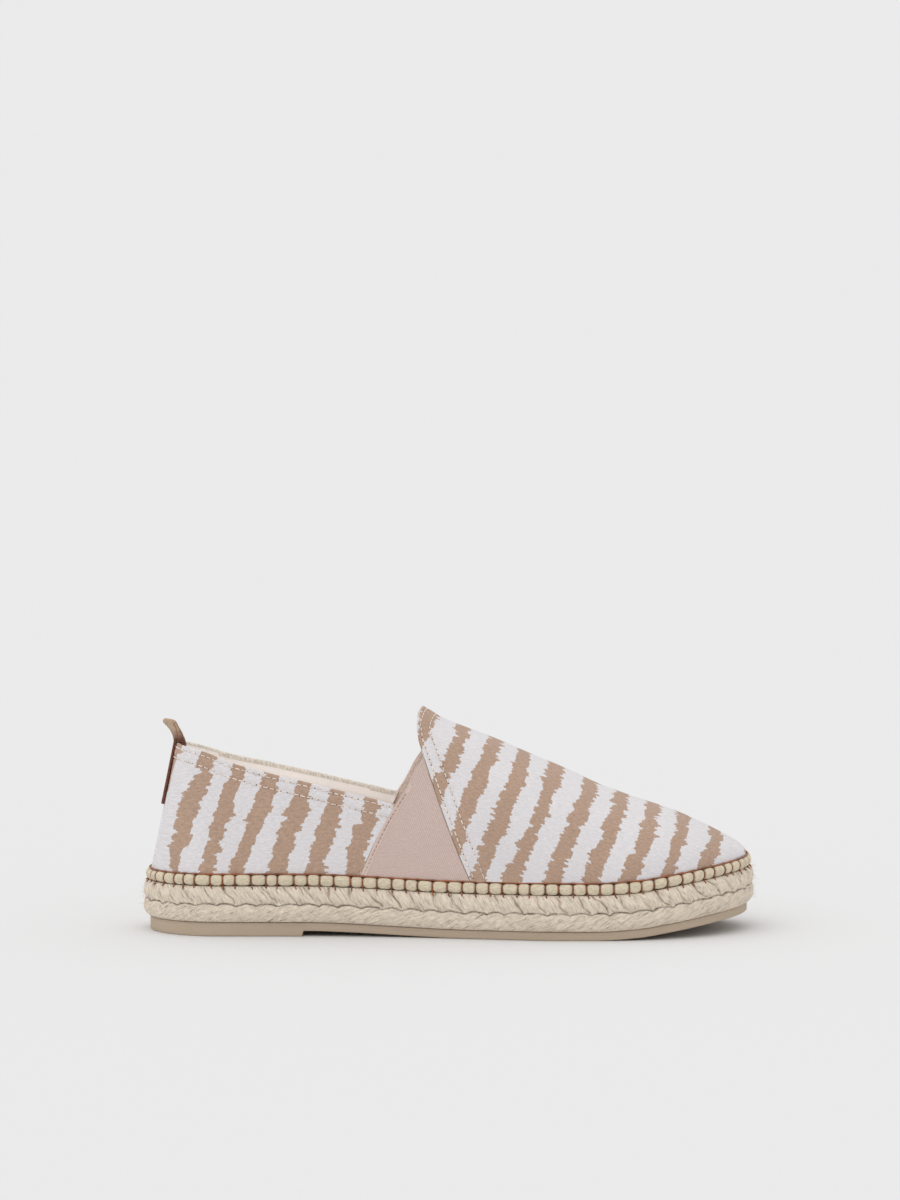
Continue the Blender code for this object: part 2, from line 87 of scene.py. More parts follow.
# %% A recipe book for finishes
class Finish:
    """A material whose nodes are added one line at a time."""

    def __init__(self, name):
        self.material = bpy.data.materials.new(name)
        self.material.use_nodes = True
        self.nodes = self.material.node_tree.nodes
        self.links = self.material.node_tree.links
        self.shader = self.nodes["Principled BSDF"]

    def add(self, kind, *values, **settings):
        node = self.nodes.new("ShaderNode" + kind)
        for name, value in settings.items():
            setattr(node, name, value)
        for socket, value in zip(node.inputs, values):
            self.put(socket, value)
        return node

    def put(self, socket, value):
        if isinstance(value, bpy.types.NodeSocket):
            self.links.new(value, socket)
        elif isinstance(value, tuple):
            socket.default_value = value[:len(socket.default_value)]
        elif value is not None:
            socket.default_value = value

    def math(self, operation, *values):
        return self.add("Math", *values, operation=operation).outputs[0]

    def attribute(self, name):
        return self.add("Attribute", attribute_name=name).outputs["Fac"]

    def place(self):
        """Where a point lies in the shoe, in metres."""
        return self.add("TexCoord").outputs["Object"]

    def noise(self, place, scale, detail=2.0):
        node = self.add("TexNoise")
        self.put(node.inputs["Vector"], place)
        self.put(node.inputs["Scale"], scale)
        self.put(node.inputs["Detail"], detail)
        return node.outputs["Fac"]

    def fibres(self, place, x, y, z, detail):
        """Noise that is x, y and z times as fine along each direction, as yarn and fibre are."""
        stretched = self.add("VectorMath", place, (x, y, z), operation="MULTIPLY").outputs[0]
        return self.noise(stretched, 1.0, detail)

    def span(self, value, low, high, new_low=0.0, new_high=1.0):
        return self.add("MapRange", value, low, high, new_low, new_high).outputs[0]

    def mix(self, amount, a, b):
        node = self.add("Mix", data_type="RGBA")
        for socket, value in ((node.inputs[0], amount), (node.inputs[6], a), (node.inputs[7], b)):
            self.put(socket, value)
        return node.outputs[2]

    def tint(self, colour, *steps):
        """Makes a colour darker and lighter, step by step: low and high factor, and the amount."""
        for low, high, amount in steps:
            factor = self.span(amount, 0.0, 1.0, low, high)
            node = self.add("VectorMath", colour, operation="SCALE")
            self.put(node.inputs["Scale"], factor)
            colour = node.outputs[0]
        return colour

    def bump(self, height, depth, normal=None):
        node = self.add("Bump")
        self.put(node.inputs["Height"], height)
        node.inputs["Strength"].default_value = 1.0
        node.inputs["Distance"].default_value = depth
        if normal is not None:
            self.put(node.inputs["Normal"], normal)
        return node.outputs["Normal"]

    def done(self, colour, roughness, normal=None, sheen=0.0, specular=0.5):
        self.put(self.shader.inputs["Base Color"], colour)
        self.shader.inputs["Roughness"].default_value = roughness
        self.shader.inputs["Sheen Weight"].default_value = sheen
        self.shader.inputs["Specular IOR Level"].default_value = specular
        if normal is not None:
            self.put(self.shader.inputs["Normal"], normal)
        return self.material


def colour(red, green, blue):
    """A colour as read off a screen, turned into the light that a shader works with."""
    return tuple((value / 255) ** 2.2 for value in (red, green, blue)) + (1.0,)


print("finishes are made with", Finish.__name__)

# %% [markdown]
# ## The sizes of the shoe
# The upper was drawn over a last, the wooden foot that shoemakers work on. The same last is
# described here again, with the sizes and the tables of shares of the CAD source, because this
# lesson can't read that file. Finer pieces made from it lie where the solids lie. Three things
# differ by 2 mm at most: the tab's twist, the vamp's rear edge and the dip of the inner collar.

# %% Driving sizes
SOLE_LENGTH = 285.5 * MM
BALL_WIDTH = 103.0 * MM
HEEL_WIDTH = 71.0 * MM
INSTEP_RISE = 76.0 * MM     # from the seam up to the peak of the vamp
HEEL_RISE = 59.0 * MM       # from the seam up to the collar at the back
HEEL_LEAN = 12.2 * MM
TOE_SWING = 6.0 * MM
TOE_SPRING = 8.7 * MM
TOE_REACH = 42.0 * MM

RUBBER_THICKNESS = 4.0 * MM
RUBBER_INSET = 3.0 * MM
HEEL_LIFT = 2.5 * MM
JUTE_HEIGHT = 16.4 * MM
JUTE_EDGE_CURVE = 2.2 * MM  # how far the jute's top and bottom edges turn in
CORD_DIAMETER = 5.0 * MM
CORD_INSET = 1.0 * MM
BEAD_PITCH = 6.4 * MM
INSOLE_THICKNESS = 3.0 * MM

WALL = 2.0 * MM
FEATHER_INSET = 3.5 * MM    # the upper leaves the sole this far inside the jute
TAB_WIDTH = 14.0 * MM
TAB_THICKNESS = 1.2 * MM
TAB_LOOP = 9.5 * MM
TAB_LEAN = 5.0 * MM
TAB_TWIST = math.radians(24)
GAP = 0.3 * MM

HEEL_ROUND, TOE_ROUND, TOE_BLUNTNESS = 0.13, 0.25, 2.3
HEEL_LIFT_END = 0.264
TOE_START = 0.70
EDGE_SAMPLES = 1200


# %% Tables of the last
def table(columns, *rows):
    """Shares of the sizes above, one array for each named column."""
    return {name: np.array(cells, dtype=float) for name, cells in zip(columns.split(), zip(*rows))}


SOLE_EDGE = table("station outer inner", (0.00, 0.00, 0.00), (0.15, 0.00, -0.03), (0.30, 0.03, -0.13),
                  (0.42, 0.22, -0.09), (0.55, 0.61, 0.26), (0.66, 0.95, 0.78), (0.75, 0.99, 1.01),
                  (0.86, 0.84, 1.00), (1.00, 0.47, 0.78))
GROUND = table("station lift spring", (0.00, 1.00, 0.00), (0.27, 1.00, 0.00), (0.34, 0.78, 0.00),
               (0.42, 0.38, 0.00), (0.50, 0.06, 0.00), (0.55, 0.00, 0.00), (0.73, 0.00, 0.00),
               (0.80, 0.00, 0.12), (0.86, 0.00, 0.38), (0.91, 0.00, 0.62), (0.96, 0.00, 0.84),
               (1.00, 0.00, 1.00))
CROWN = table("station heel instep", (0.000, 2.94, 0.000), (0.100, 2.77, 0.000), (0.200, 1.70, 0.595),
              (0.300, 0.70, 1.079), (0.380, 0.20, 1.160), (0.430, 0.00, 1.096), (0.459, 0.00, 1.000),
              (0.486, 0.00, 0.940), (0.535, 0.00, 0.869), (0.584, 0.00, 0.801), (0.633, 0.00, 0.723),
              (0.682, 0.00, 0.648), (0.748, 0.00, 0.532), (0.800, 0.00, 0.445), (0.845, 0.00, 0.368),
              (0.880, 0.00, 0.303), (0.912, 0.00, 0.242), (0.945, 0.00, 0.182), (1.000, 0.00, 0.090))
FULLNESS = table("station height width", (0.00, 2.5, 2.5), (0.35, 2.5, 2.5), (0.46, 2.5, 2.15),
                 (0.60, 2.3, 2.05), (0.75, 2.1, 2.0), (0.85, 2.3, 2.25), (1.00, 2.5, 2.5))
HEEL_FORM = table("station lean narrow", (0.00, 1.00, 0.20), (0.08, 0.54, 0.20), (0.16, 0.22, 0.17),
                  (0.25, 0.03, 0.07), (0.34, 0.00, 0.00), (1.00, 0.00, 0.00))

# Ribs of the panels: station on the seam, station at the top edge, share of the crown's height
QUARTER = table("foot head reach", (0.000, 0.0000, 0.340), (0.080, 0.0800, 0.335), (0.160, 0.1650, 0.322),
                (0.240, 0.2620, 0.321), (0.300, 0.3450, 0.345), (0.337, 0.3930, 0.368),
                (0.3550, 0.4150, 0.3935))
GORE = table("foot head reach", (0.354, 0.4275, 0.502), (0.440, 0.4430, 0.620), (0.530, 0.4555, 0.729))
VAMP = table("foot head reach", (0.533, 0.4578, 0.739), (0.549, 0.4485, 0.824), (0.566, 0.4470, 0.888),
             (0.583, 0.4515, 0.952), (0.600, 0.4594, 1.000), (0.660, 0.5600, 1.000), (0.720, 0.6650, 1.000),
             (0.780, 0.7650, 1.000), (0.840, 0.8350, 1.000), (1.000, 1.0000, 1.000))
INNER_COLLAR_DROP = 0.011   # share of the crown by which the inner collar dips behind the ankle
VAMP_RIDGE_FOOT = 0.600     # from this rib on, the vamp closes over the ridge
print("sole", round(SOLE_LENGTH / MM, 1), "mm long and", round(BALL_WIDTH / MM, 1), "mm wide")

# %% [markdown]
# ## Curves through the tables
# A table gives a few rows. Between them runs a smooth curve that never swings past a row, which is
# what a draughtsman's flexible rule does. Numpy reads whole arrays of places at once, so that a
# fine mesh is worked out in one go and not point by point.


# %% Smooth curves
def slopes(x, y):
    rise = np.diff(y) / np.diff(x)
    before, after = rise[:-1], rise[1:]
    same_way = before * after > 0
    middle = np.where(same_way, 2 * before * after / np.where(same_way, before + after, 1), 0)
    return np.concatenate([rise[:1], middle, rise[-1:]])


def smooth(rows, column, at, key="station"):
    """Reads one column of a table between its rows, on a smooth curve."""
    x, y = rows[key], rows[column]
    at = np.clip(at, x[0], x[-1])
    slope = slopes(x, y)
    i = np.clip(np.searchsorted(x, at, side="right") - 1, 0, len(x) - 2)
    step = x[i + 1] - x[i]
    t = (at - x[i]) / step
    start = (1 + 2 * t) * (1 - t) ** 2 * y[i] + t * (1 - t) ** 2 * step * slope[i]
    end = t ** 2 * (3 - 2 * t) * y[i + 1] + t ** 2 * (t - 1) * step * slope[i + 1]
    return start + end


def blend(a, b, t):
    return a + (b - a) * t


def ease(value, low, high):
    """0 below low, 1 above high, and a soft S between them."""
    t = np.clip((value - low) / (high - low), 0, 1)
    return t * t * (3 - 2 * t)


def bell(value, middle, width):
    return np.exp(-((value - middle) / width) ** 2)


print("the crown is", round(INSTEP_RISE / MM), "mm above the seam at the instep")

# %% [markdown]
# ## The outline of the sole
# Each side of the sole is a rail from the heel to the toe. A place on it is named by its share of
# the way, so that beads, strands and ribs can be spaced evenly around the curve.


# %% Outline and layers
def raw_side(side, station):
    half = blend(HEEL_WIDTH, BALL_WIDTH, smooth(SOLE_EDGE, side, station)) / 2
    heel = np.clip((HEEL_ROUND - station) / HEEL_ROUND, 0, 1)
    toe = np.clip((station - 1 + TOE_ROUND) / TOE_ROUND, 0, 1)
    rounding = np.sqrt(1 - heel ** 2) * (1 - toe ** TOE_BLUNTNESS) ** (1 / TOE_BLUNTNESS)
    middle = TOE_SWING * station
    return middle + ((-1 if side == "outer" else 1) * half - middle) * rounding


@lru_cache(None)
def middle_shift():
    station = np.linspace(0, 1, EDGE_SAMPLES // 2)
    return (raw_side("outer", station).min() + raw_side("inner", station).max()) / 2


def axis_y(x):
    return TOE_SWING * (x / SOLE_LENGTH + 0.5) - middle_shift()


@lru_cache(None)
def rail(side):
    """One side of the outline from heel to toe: share of the way, point and outward normal."""
    station = (1 - np.cos(np.linspace(0, math.pi, EDGE_SAMPLES))) / 2
    x = (station - 0.5) * SOLE_LENGTH
    y = raw_side(side, station) - middle_shift()
    way = np.concatenate([[0], np.cumsum(np.hypot(np.diff(x), np.diff(y)))])
    sign = 1 if side == "outer" else -1
    normal_x, normal_y = sign * np.gradient(y, way), -sign * np.gradient(x, way)
    normal_x[[0, -1]], normal_y[[0, -1]] = (-1, 1), (0, 0)
    return {"length": way[-1], "share": way / way[-1], "station": station,
            "x": x, "y": y, "normal_x": normal_x, "normal_y": normal_y}


def edge(side, share, inset):
    """Points of the outline, moved in by the inset."""
    line = rail(side)
    x, y, normal_x, normal_y = (np.interp(share, line["share"], line[key])
                                for key in ("x", "y", "normal_x", "normal_y"))
    size = np.hypot(normal_x, normal_y)
    return x - inset * normal_x / size, y - inset * normal_y / size


def share_at(side, station):
    return np.interp(station, rail(side)["station"], rail(side)["share"])


def station_at(side, share):
    return np.interp(share, rail(side)["share"], rail(side)["station"])


def ring(turn, inset):
    """Points of the whole outline: heel 0, along the outer side to the toe 1, and back to 2."""
    turn = np.asarray(turn) % 2
    outer = edge("outer", np.minimum(turn, 1), inset)
    inner = edge("inner", np.minimum(2 - turn, 1), inset)
    return np.where(turn <= 1, outer[0], inner[0]), np.where(turn <= 1, outer[1], inner[1])


def sheet_bottom(x):
    station = x / SOLE_LENGTH + 0.5
    return HEEL_LIFT * smooth(GROUND, "lift", station) + TOE_SPRING * smooth(GROUND, "spring", station)


def jute_bottom(x):
    return sheet_bottom(x) + RUBBER_THICKNESS + GAP


def jute_top(x):
    return jute_bottom(x) + JUTE_HEIGHT


def seam(x):
    """Where the upper comes out over the cord."""
    return jute_top(x) + CORD_DIAMETER + 2 * GAP


ROUND_THE_SOLE = rail("outer")["length"] + rail("inner")["length"]
print("once around the sole is", round(ROUND_THE_SOLE / MM), "mm")

# %% [markdown]
# ## The last
# A point on the last is named by its place along the sole's edge and by how far the cloth has
# turned up from the seam. A quarter of a turn brings it to the ridge. Pieces that lie on each other
# use the same point with another inset.


# %% Points on the last
def crown(x):
    station = x / SOLE_LENGTH + 0.5
    return HEEL_RISE * smooth(CROWN, "heel", station) + INSTEP_RISE * smooth(CROWN, "instep", station)


def on_last(side, share, turn, inset=0.0):
    """Points on the last, one row of x, y and z for each place."""
    station = station_at(side, share)
    foot_x, foot_y = edge(side, share, FEATHER_INSET + inset)
    draw = np.maximum(np.cos(turn), 0.0) ** (2 / smooth(FULLNESS, "width", station))
    rise = np.maximum(np.sin(turn), 0.0) ** (2 / smooth(FULLNESS, "height", station))
    toe = np.maximum(0.0, (station - TOE_START) / (1 - TOE_START))
    centre_x = (station - 0.5) * SOLE_LENGTH - TOE_REACH * toe ** 2
    x = blend(centre_x, foot_x, draw)
    height = rise * (crown(x) - inset)
    lean = np.maximum(height, 0.0) / HEEL_RISE
    width = draw * (1 - smooth(HEEL_FORM, "narrow", station) * lean)
    y = axis_y(x) + (foot_y - axis_y(foot_x)) * width
    z = seam(x) + height
    return np.stack([x + HEEL_LEAN * smooth(HEEL_FORM, "lean", station) * lean, y, z], axis=-1)


def turn_to(station, reach):
    """The turn at which a rib has climbed this share of the crown's height."""
    return np.arcsin(np.minimum(reach, 1.0) ** (smooth(FULLNESS, "height", station) / 2))


def rib_places(side, feet, panel, climbs, start=0.0, shift=0.0):
    """Share and turn of the points on a panel's ribs, one row for each rib."""
    foot = np.asarray(feet)[:, None] + shift
    head = smooth(panel, "head", np.asarray(feet), "foot")[:, None] + shift
    reach = np.round(smooth(panel, "reach", np.asarray(feet), "foot"), 6)[:, None]
    if panel is QUARTER and side == "inner":
        reach = reach - INNER_COLLAR_DROP * bell(foot, 0.09, 0.06)
    top = turn_to(head, reach)
    turn = blend(start, top, np.asarray(climbs)[None, :])
    height = (np.sin(turn) / np.sin(top)) ** (2 / smooth(FULLNESS, "height", head))
    return share_at(side, blend(foot, head, height)), turn


def evenly_round(first, last, count):
    """Stations that lie evenly along the outer edge, also where it rounds heel or toe."""
    return station_at("outer", np.linspace(share_at("outer", first), share_at("outer", last), count))


peak = on_last("outer", share_at("outer", VAMP["head"][4]), math.pi / 2)
print("peak of the vamp at", [round(float(v) / MM, 1) for v in peak], "mm")

# %% [markdown]
# ## From points to pieces
# Every piece below is a grid of points with faces between neighbours. Numbers that a finish needs,
# such as how far a point lies up the cloth, are kept on the points as attributes, because they
# stay with the mesh when it is exported.


# %% Meshes from grids
def grid_faces(first, rows, columns, closed=False, flip=False):
    """Quads of a grid whose points are numbered row by row."""
    i = np.arange(rows if closed else rows - 1)[:, None] * columns
    after = (i + columns) % (rows * columns)
    j = np.arange(columns - 1)[None, :]
    quads = np.stack([i + j, after + j, after + j + 1, i + j + 1], axis=-1).reshape(-1, 4) + first
    return quads[:, ::-1] if flip else quads


def make_piece(name, points, faces, materials, face_material=None, values=None, sharp=50):
    """One closed mesh object from points, faces and the numbers that its finish reads."""
    mesh = bpy.data.meshes.new(name)
    mesh.from_pydata(np.asarray(points).tolist(), [], [tuple(map(int, face)) for face in faces])
    for material in materials:
        mesh.materials.append(material)
    if face_material is not None:
        mesh.polygons.foreach_set("material_index", face_material)
    for key, column in (values or {}).items():
        mesh.attributes.new(key, "FLOAT", "POINT").data.foreach_set("value", np.asarray(column, np.float32))
    work = bmesh.new()
    work.from_mesh(mesh)
    bmesh.ops.remove_doubles(work, verts=work.verts, dist=0.002 * MM)
    bmesh.ops.recalc_face_normals(work, faces=work.faces)
    work.to_mesh(mesh)
    work.free()
    mesh.shade_smooth()
    mesh.set_sharp_from_angle(angle=math.radians(sharp))
    piece = bpy.data.objects.new(name, mesh)
    bpy.context.collection.objects.link(piece)
    return piece


def dress(piece, slot, *nodes):
    """Ties a piece to the frame and hides the solids that it stands for."""
    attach(piece, "root")
    if nodes:
        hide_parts(*nodes)
    triangles = sum(len(face.vertices) - 2 for face in piece.data.polygons)
    print(f"{piece.name}: {triangles} triangles")


def crosswise(first, count):
    """Closes a ring that starts at the heel with strips across the sole."""
    half, end = count // 2, first + count
    faces = [(first, first + 1, end - 1), (first + half - 1, first + half, first + half + 1)]
    return faces + [(first + i, first + i + 1, end - i - 1, end - i) for i in range(1, half - 1)]


# %% [markdown]
# ## The stripes of the cloth
# The cloth is woven with tan and white bands that run around the foot, a little uneven, with edges
# that break off in small steps. A wave texture would give bands of one width, so the tan bands are
# charted: the left and right edge of every band was read in an enlarged view of the photo, on the
# rows where it shows. The chart holds these readings in pixels of the view, so that a place left of
# the view is below zero, and functions turn them into places on the shoe. Every point of the cloth
# then gets its place among the bands as one number: even and up is tan, odd and up is white.

# %% The chart of the bands
# One entry for each tan band, from the heel to the toe: {row: (left edge, right edge), and so on}
QUARTER_CHART = (
    {870: (165, 205), 770: (182, 222), 670: (172, 275), 570: (203, 303),
     470: (238, 335), 370: (288, 365), 270: (322, 398), 200: (345, 412)},
    {870: (305, 375), 770: (325, 400), 670: (368, 435), 570: (383, 468),
     470: (413, 490), 370: (452, 520), 270: (475, 535), 200: (490, 550)},
    {870: (455, 515), 770: (480, 560), 670: (530, 592), 570: (552, 648),
     470: (588, 675), 370: (620, 702), 270: (640, 720), 200: (655, 735)},
    {870: (630, 722), 770: (660, 745), 670: (690, 775), 570: (735, 820),
     470: (760, 848), 370: (790, 870), 270: (810, 890), 200: (825, 905)},
    {870: (810, 895), 770: (843, 925), 670: (868, 960), 570: (895, 992),
     470: (942, 1018), 370: (965, 1035), 270: (985, 1055), 200: (1000, 1070)},
    {870: (997, 1080), 770: (1020, 1100), 670: (1045, 1128), 570: (1085, 1162),
     470: (1105, 1173), 370: (1125, 1195), 270: (1145, 1215), 200: (1160, 1230)},
)
VAMP_CHART = (
    {370: (-190, -130), 270: (-150, -85), 170: (-103, -38), 100: (-97, -2), 60: (-90, -22)},
    {470: (-45, 15), 370: (-10, 60), 270: (42, 112), 170: (75, 145), 100: (95, 165)},
    {670: (60, 120), 570: (75, 150), 470: (108, 205), 370: (148, 228), 270: (207, 285), 170: (235, 310)},
    {870: (155, 225), 770: (175, 255), 670: (195, 290), 570: (252, 325),
     470: (290, 378), 370: (333, 410), 270: (372, 437)},
    {870: (302, 385), 770: (345, 420), 670: (385, 448), 570: (435, 505), 470: (465, 535), 370: (500, 580)},
    {870: (490, 570), 770: (520, 605), 670: (560, 640), 570: (598, 692), 470: (660, 735), 370: (690, 760)},
    {870: (675, 755), 770: (700, 775), 670: (738, 820), 570: (782, 858), 470: (825, 893)},
    {870: (850, 915), 770: (880, 962), 670: (925, 1000), 570: (955, 1030), 470: (990, 1050)},
    {870: (1020, 1080), 770: (1055, 1118), 670: (1088, 1155), 570: (1118, 1190)},
    {870: (1195, 1265), 770: (1225, 1300), 670: (1268, 1335), 570: (1290, 1360)},
    {870: (1360, 1430), 770: (1395, 1465), 670: (1425, 1495)},
)
QUARTER_ROWS = np.array((870, 770, 670, 570, 470, 370, 270, 200))
VAMP_ROWS = np.array((870, 770, 670, 570, 470, 370, 270, 170, 100))
VIEW_PIXEL = 0.09853 * MM       # what a pixel of the enlarged view measures on the shoe
VIEW_TOP = 108.1 * MM           # height of the top row above the floor
QUARTER_LEFT = -149.3 * MM      # where the view of the quarter begins along the shoe
VAMP_LEFT = -4.2 * MM           # where the view of the vamp begins
BAND_SLANT = 0.3                # pixels that a band leans for each row up, past its last reading

# A first render beside the photo showed how far the charted bands still had to move along the shoe
HEEL_MOVE = 3.3 * MM
WAIST_MOVE = 1.6 * MM
HEEL_TO_WAIST = (-140 * MM, 100 * MM)       # where the heel's move starts, and the way to the waist's
TOP_MOVE, TOP_FROM = 0.8 * MM, 66 * MM      # a little more, above this height
SOLE_MOVES = (-1.3 * MM, -0.7 * MM)         # of the vamp's two lowest rows
TOE_MOVE = 5 * MM                           # of the last band on the vamp

# The band at the back of the heel turns out of sight, so its two edges are given one by one
HEEL_BAND = np.array(((-158, -154), (-157, -153), (-156, -152), (-155, -151), (-152, -147),
                      (-145, -138.5), (-135, -124.7), (-131, -122.7))) * MM


# %% Where the bands lie
def tenths(lengths):
    """Rounds to a tenth of a millimetre, which is finer than an eye can read the view."""
    return np.round(lengths / MM, 1) * MM


def charted(chart, rows, view_left):
    """Places of the edges along the shoe, one line of them for each row of the view."""
    edges = []
    for band in chart:
        seen = sorted(band)
        past = np.clip(rows, seen[0], seen[-1]) - rows
        for side in (0, 1):
            edges.append(np.interp(rows, seen, [band[row][side] for row in seen]) + BAND_SLANT * past)
    return tenths(view_left + VIEW_PIXEL * np.stack(edges, axis=-1))


def quarter_bands():
    """The heel's own band, and the charted ones moved forward."""
    bands = charted(QUARTER_CHART, QUARTER_ROWS, QUARTER_LEFT)
    forward = np.clip((bands - HEEL_TO_WAIST[0]) / HEEL_TO_WAIST[1], 0, 1)
    move = blend(HEEL_MOVE, WAIST_MOVE, forward) + np.where(QUARTER_HEIGHTS > TOP_FROM, TOP_MOVE, 0)[:, None]
    return np.concatenate([HEEL_BAND, tenths(bands + move)], axis=1)


def vamp_bands():
    """The charted bands, moved back at the sole and forward at the toe."""
    bands = charted(VAMP_CHART, VAMP_ROWS, VAMP_LEFT)
    bands[:2] += np.array(SOLE_MOVES)[:, None]
    bands[:, -2:] += TOE_MOVE
    return tenths(bands)


QUARTER_HEIGHTS = tenths(VIEW_TOP - VIEW_PIXEL * QUARTER_ROWS)
VAMP_HEIGHTS = tenths(VIEW_TOP - VIEW_PIXEL * VAMP_ROWS)
QUARTER_BANDS, VAMP_BANDS = quarter_bands(), vamp_bands()
BAND_WIDTH = 8 * MM
HEEL_UNROLLED = 0.012       # behind this station the bands are counted along the cloth
HEEL_WHITE = 1.35           # the count stops here around the heel, on white
HEEL_STRIP = 0.5            # and here beside the tab, where the next tan band shows
HEEL_STRIP_RISE = (0.70, 0.78)      # shares of the height between which it comes in


def view_height(points):
    """How high a point looks in the side view, which is taken from a little above."""
    below_axis = np.abs(points[..., 1] - axis_y(points[..., 0]))
    return math.cos(CAMERA_ELEVATION) * points[..., 2] - math.sin(CAMERA_ELEVATION) * below_axis


def band_number(points, heights, bands):
    """Place of each point among the band edges, and how wide its band is in usual widths."""
    height = view_height(points)
    edges = np.stack([np.interp(height, heights, column) for column in bands.T], axis=-1)
    x = points[..., 0]
    i = np.clip((x[..., None] > edges).sum(axis=-1) - 1, 0, edges.shape[-1] - 2)
    left = np.take_along_axis(edges, i[..., None], -1)[..., 0]
    right = np.take_along_axis(edges, i[..., None] + 1, -1)[..., 0]
    return i + (x - left) / (right - left), (right - left) / BAND_WIDTH


print("bands:", QUARTER_BANDS.shape[1] // 2, "on the quarter,", VAMP_BANDS.shape[1] // 2, "on the vamp")

# %% [markdown]
# ## The striped twill
# Cotton twill has fine slanted ribs, is matt, and scatters a little light from its hairs. The step
# between tan and white is cut by rows of yarn: white noise, the same for a whole row, pushes each
# little stretch of a band's edge to and fro. Three row heights together look like the weave.


# %% Striped twill
TAN = colour(183, 154, 135)
WHITE = colour(228, 224, 226)
TWILL_RIB = 0.75 * MM
KNOT_ROW = 1.4 * MM
YARN_ROWS = ((3.1, 1.2 * MM, 0.05), (7.7, 2.6 * MM, 0.085), (5.3, 5.8 * MM, 0.11))  # seed, height, reach


def make_twill():
    cloth = Finish("twill")
    band = cloth.attribute("band")
    up = cloth.attribute("up")
    number = cloth.math("FLOOR", cloth.math("ADD", band, 0.5))

    def chance_of_row(row_height, start, seed):
        """A number between 0 and 1, the same for a whole row of yarn in one band."""
        row = cloth.math("FLOOR", cloth.math("ADD", cloth.math("DIVIDE", up, row_height), start))
        place = cloth.add("CombineXYZ", number, row, seed).outputs[0]
        return cloth.add("TexWhiteNoise", place).outputs["Value"]

    shift = 0.0
    for seed, row_height, reach in YARN_ROWS:
        pushed = chance_of_row(row_height, cloth.math("MULTIPLY", number, seed), seed)
        shift = cloth.math("MULTIPLY_ADD", cloth.math("SUBTRACT", pushed, 0.5), 2 * reach, shift)
    chance = chance_of_row(KNOT_ROW, number, 9.4)
    forward, back = cloth.math("GREATER_THAN", chance, 0.92), cloth.math("LESS_THAN", chance, 0.08)
    knot = cloth.math("SUBTRACT", forward, back)
    shift = cloth.math("MULTIPLY_ADD", knot, 0.14, cloth.math("SNAP", shift, 0.055))
    # the shift is counted in usual widths of a band, so it is divided by this band's own
    moved = cloth.math("ADD", band, cloth.math("DIVIDE", shift, cloth.attribute("wide")))
    in_pair = cloth.math("FRACT", cloth.math("MULTIPLY", moved, 0.5))
    is_white = cloth.span(in_pair, 0.492, 0.508)
    is_white = cloth.math("SUBTRACT", is_white, cloth.span(in_pair, 0.985, 1.0))

    across = cloth.math("MULTIPLY", band, BAND_WIDTH)
    place = cloth.add("CombineXYZ", across, up, 0.0).outputs[0]
    diagonal = cloth.math("ADD", across, up)
    slanted = cloth.math("SINE", cloth.math("MULTIPLY", diagonal, math.tau / TWILL_RIB))
    yarns = cloth.fibres(place, 1900.0, 700.0, 1.0, 1.0)
    grain = cloth.fibres(place, 700.0, 1900.0, 1.0, 1.0)
    cloud = cloth.noise(place, 45.0, 3.0)
    streak = cloth.span(cloth.fibres(place, 420.0, 1150.0, 1.0, 2.0), 0.3, 0.7)
    tan = cloth.tint(TAN, (0.78, 1.22, yarns), (0.93, 1.07, cloud), (0.86, 1.12, streak))
    white = cloth.tint(WHITE, (0.88, 1.10, grain), (0.96, 1.04, cloud), (0.92, 1.05, streak))
    shade = cloth.tint(cloth.mix(is_white, tan, white), (0.96, 1.03, cloth.span(slanted, -1.0, 1.0)))
    relief = cloth.math("ADD", cloth.math("MULTIPLY", slanted, 0.35), cloth.math("ADD", yarns, grain))
    return cloth.done(shade, 0.92, cloth.bump(relief, 0.10 * MM), sheen=0.12, specular=0.2)


def make_lining():
    """Cream cotton jersey: soft, with a fine knit and slight clouding."""
    knit = Finish("lining")
    place = knit.place()
    fine = knit.noise(place, 1500.0, 2.0)
    cloud = knit.noise(place, 60.0, 3.0)
    shade = knit.tint(colour(253, 244, 238), (0.92, 1.05, fine), (0.96, 1.04, cloud))
    return knit.done(shade, 0.95, knit.bump(fine, 0.15 * MM), sheen=0.25, specular=0.15)


def make_tape():
    """The grosgrain tape on the raw edges: greyish, with fine ribs across it."""
    tape = Finish("tape")
    place = tape.place()
    fine = tape.fibres(place, 1400.0, 700.0, 500.0, 1.0)
    shade = tape.tint(colour(226, 215, 202), (0.76, 1.14, tape.span(fine, 0.3, 0.7)))
    return tape.done(shade, 0.9, tape.bump(fine, 0.2 * MM), sheen=0.1, specular=0.2)


twill, lining, tape = make_twill(), make_lining(), make_tape()
print("finishes:", twill.name, lining.name, tape.name)
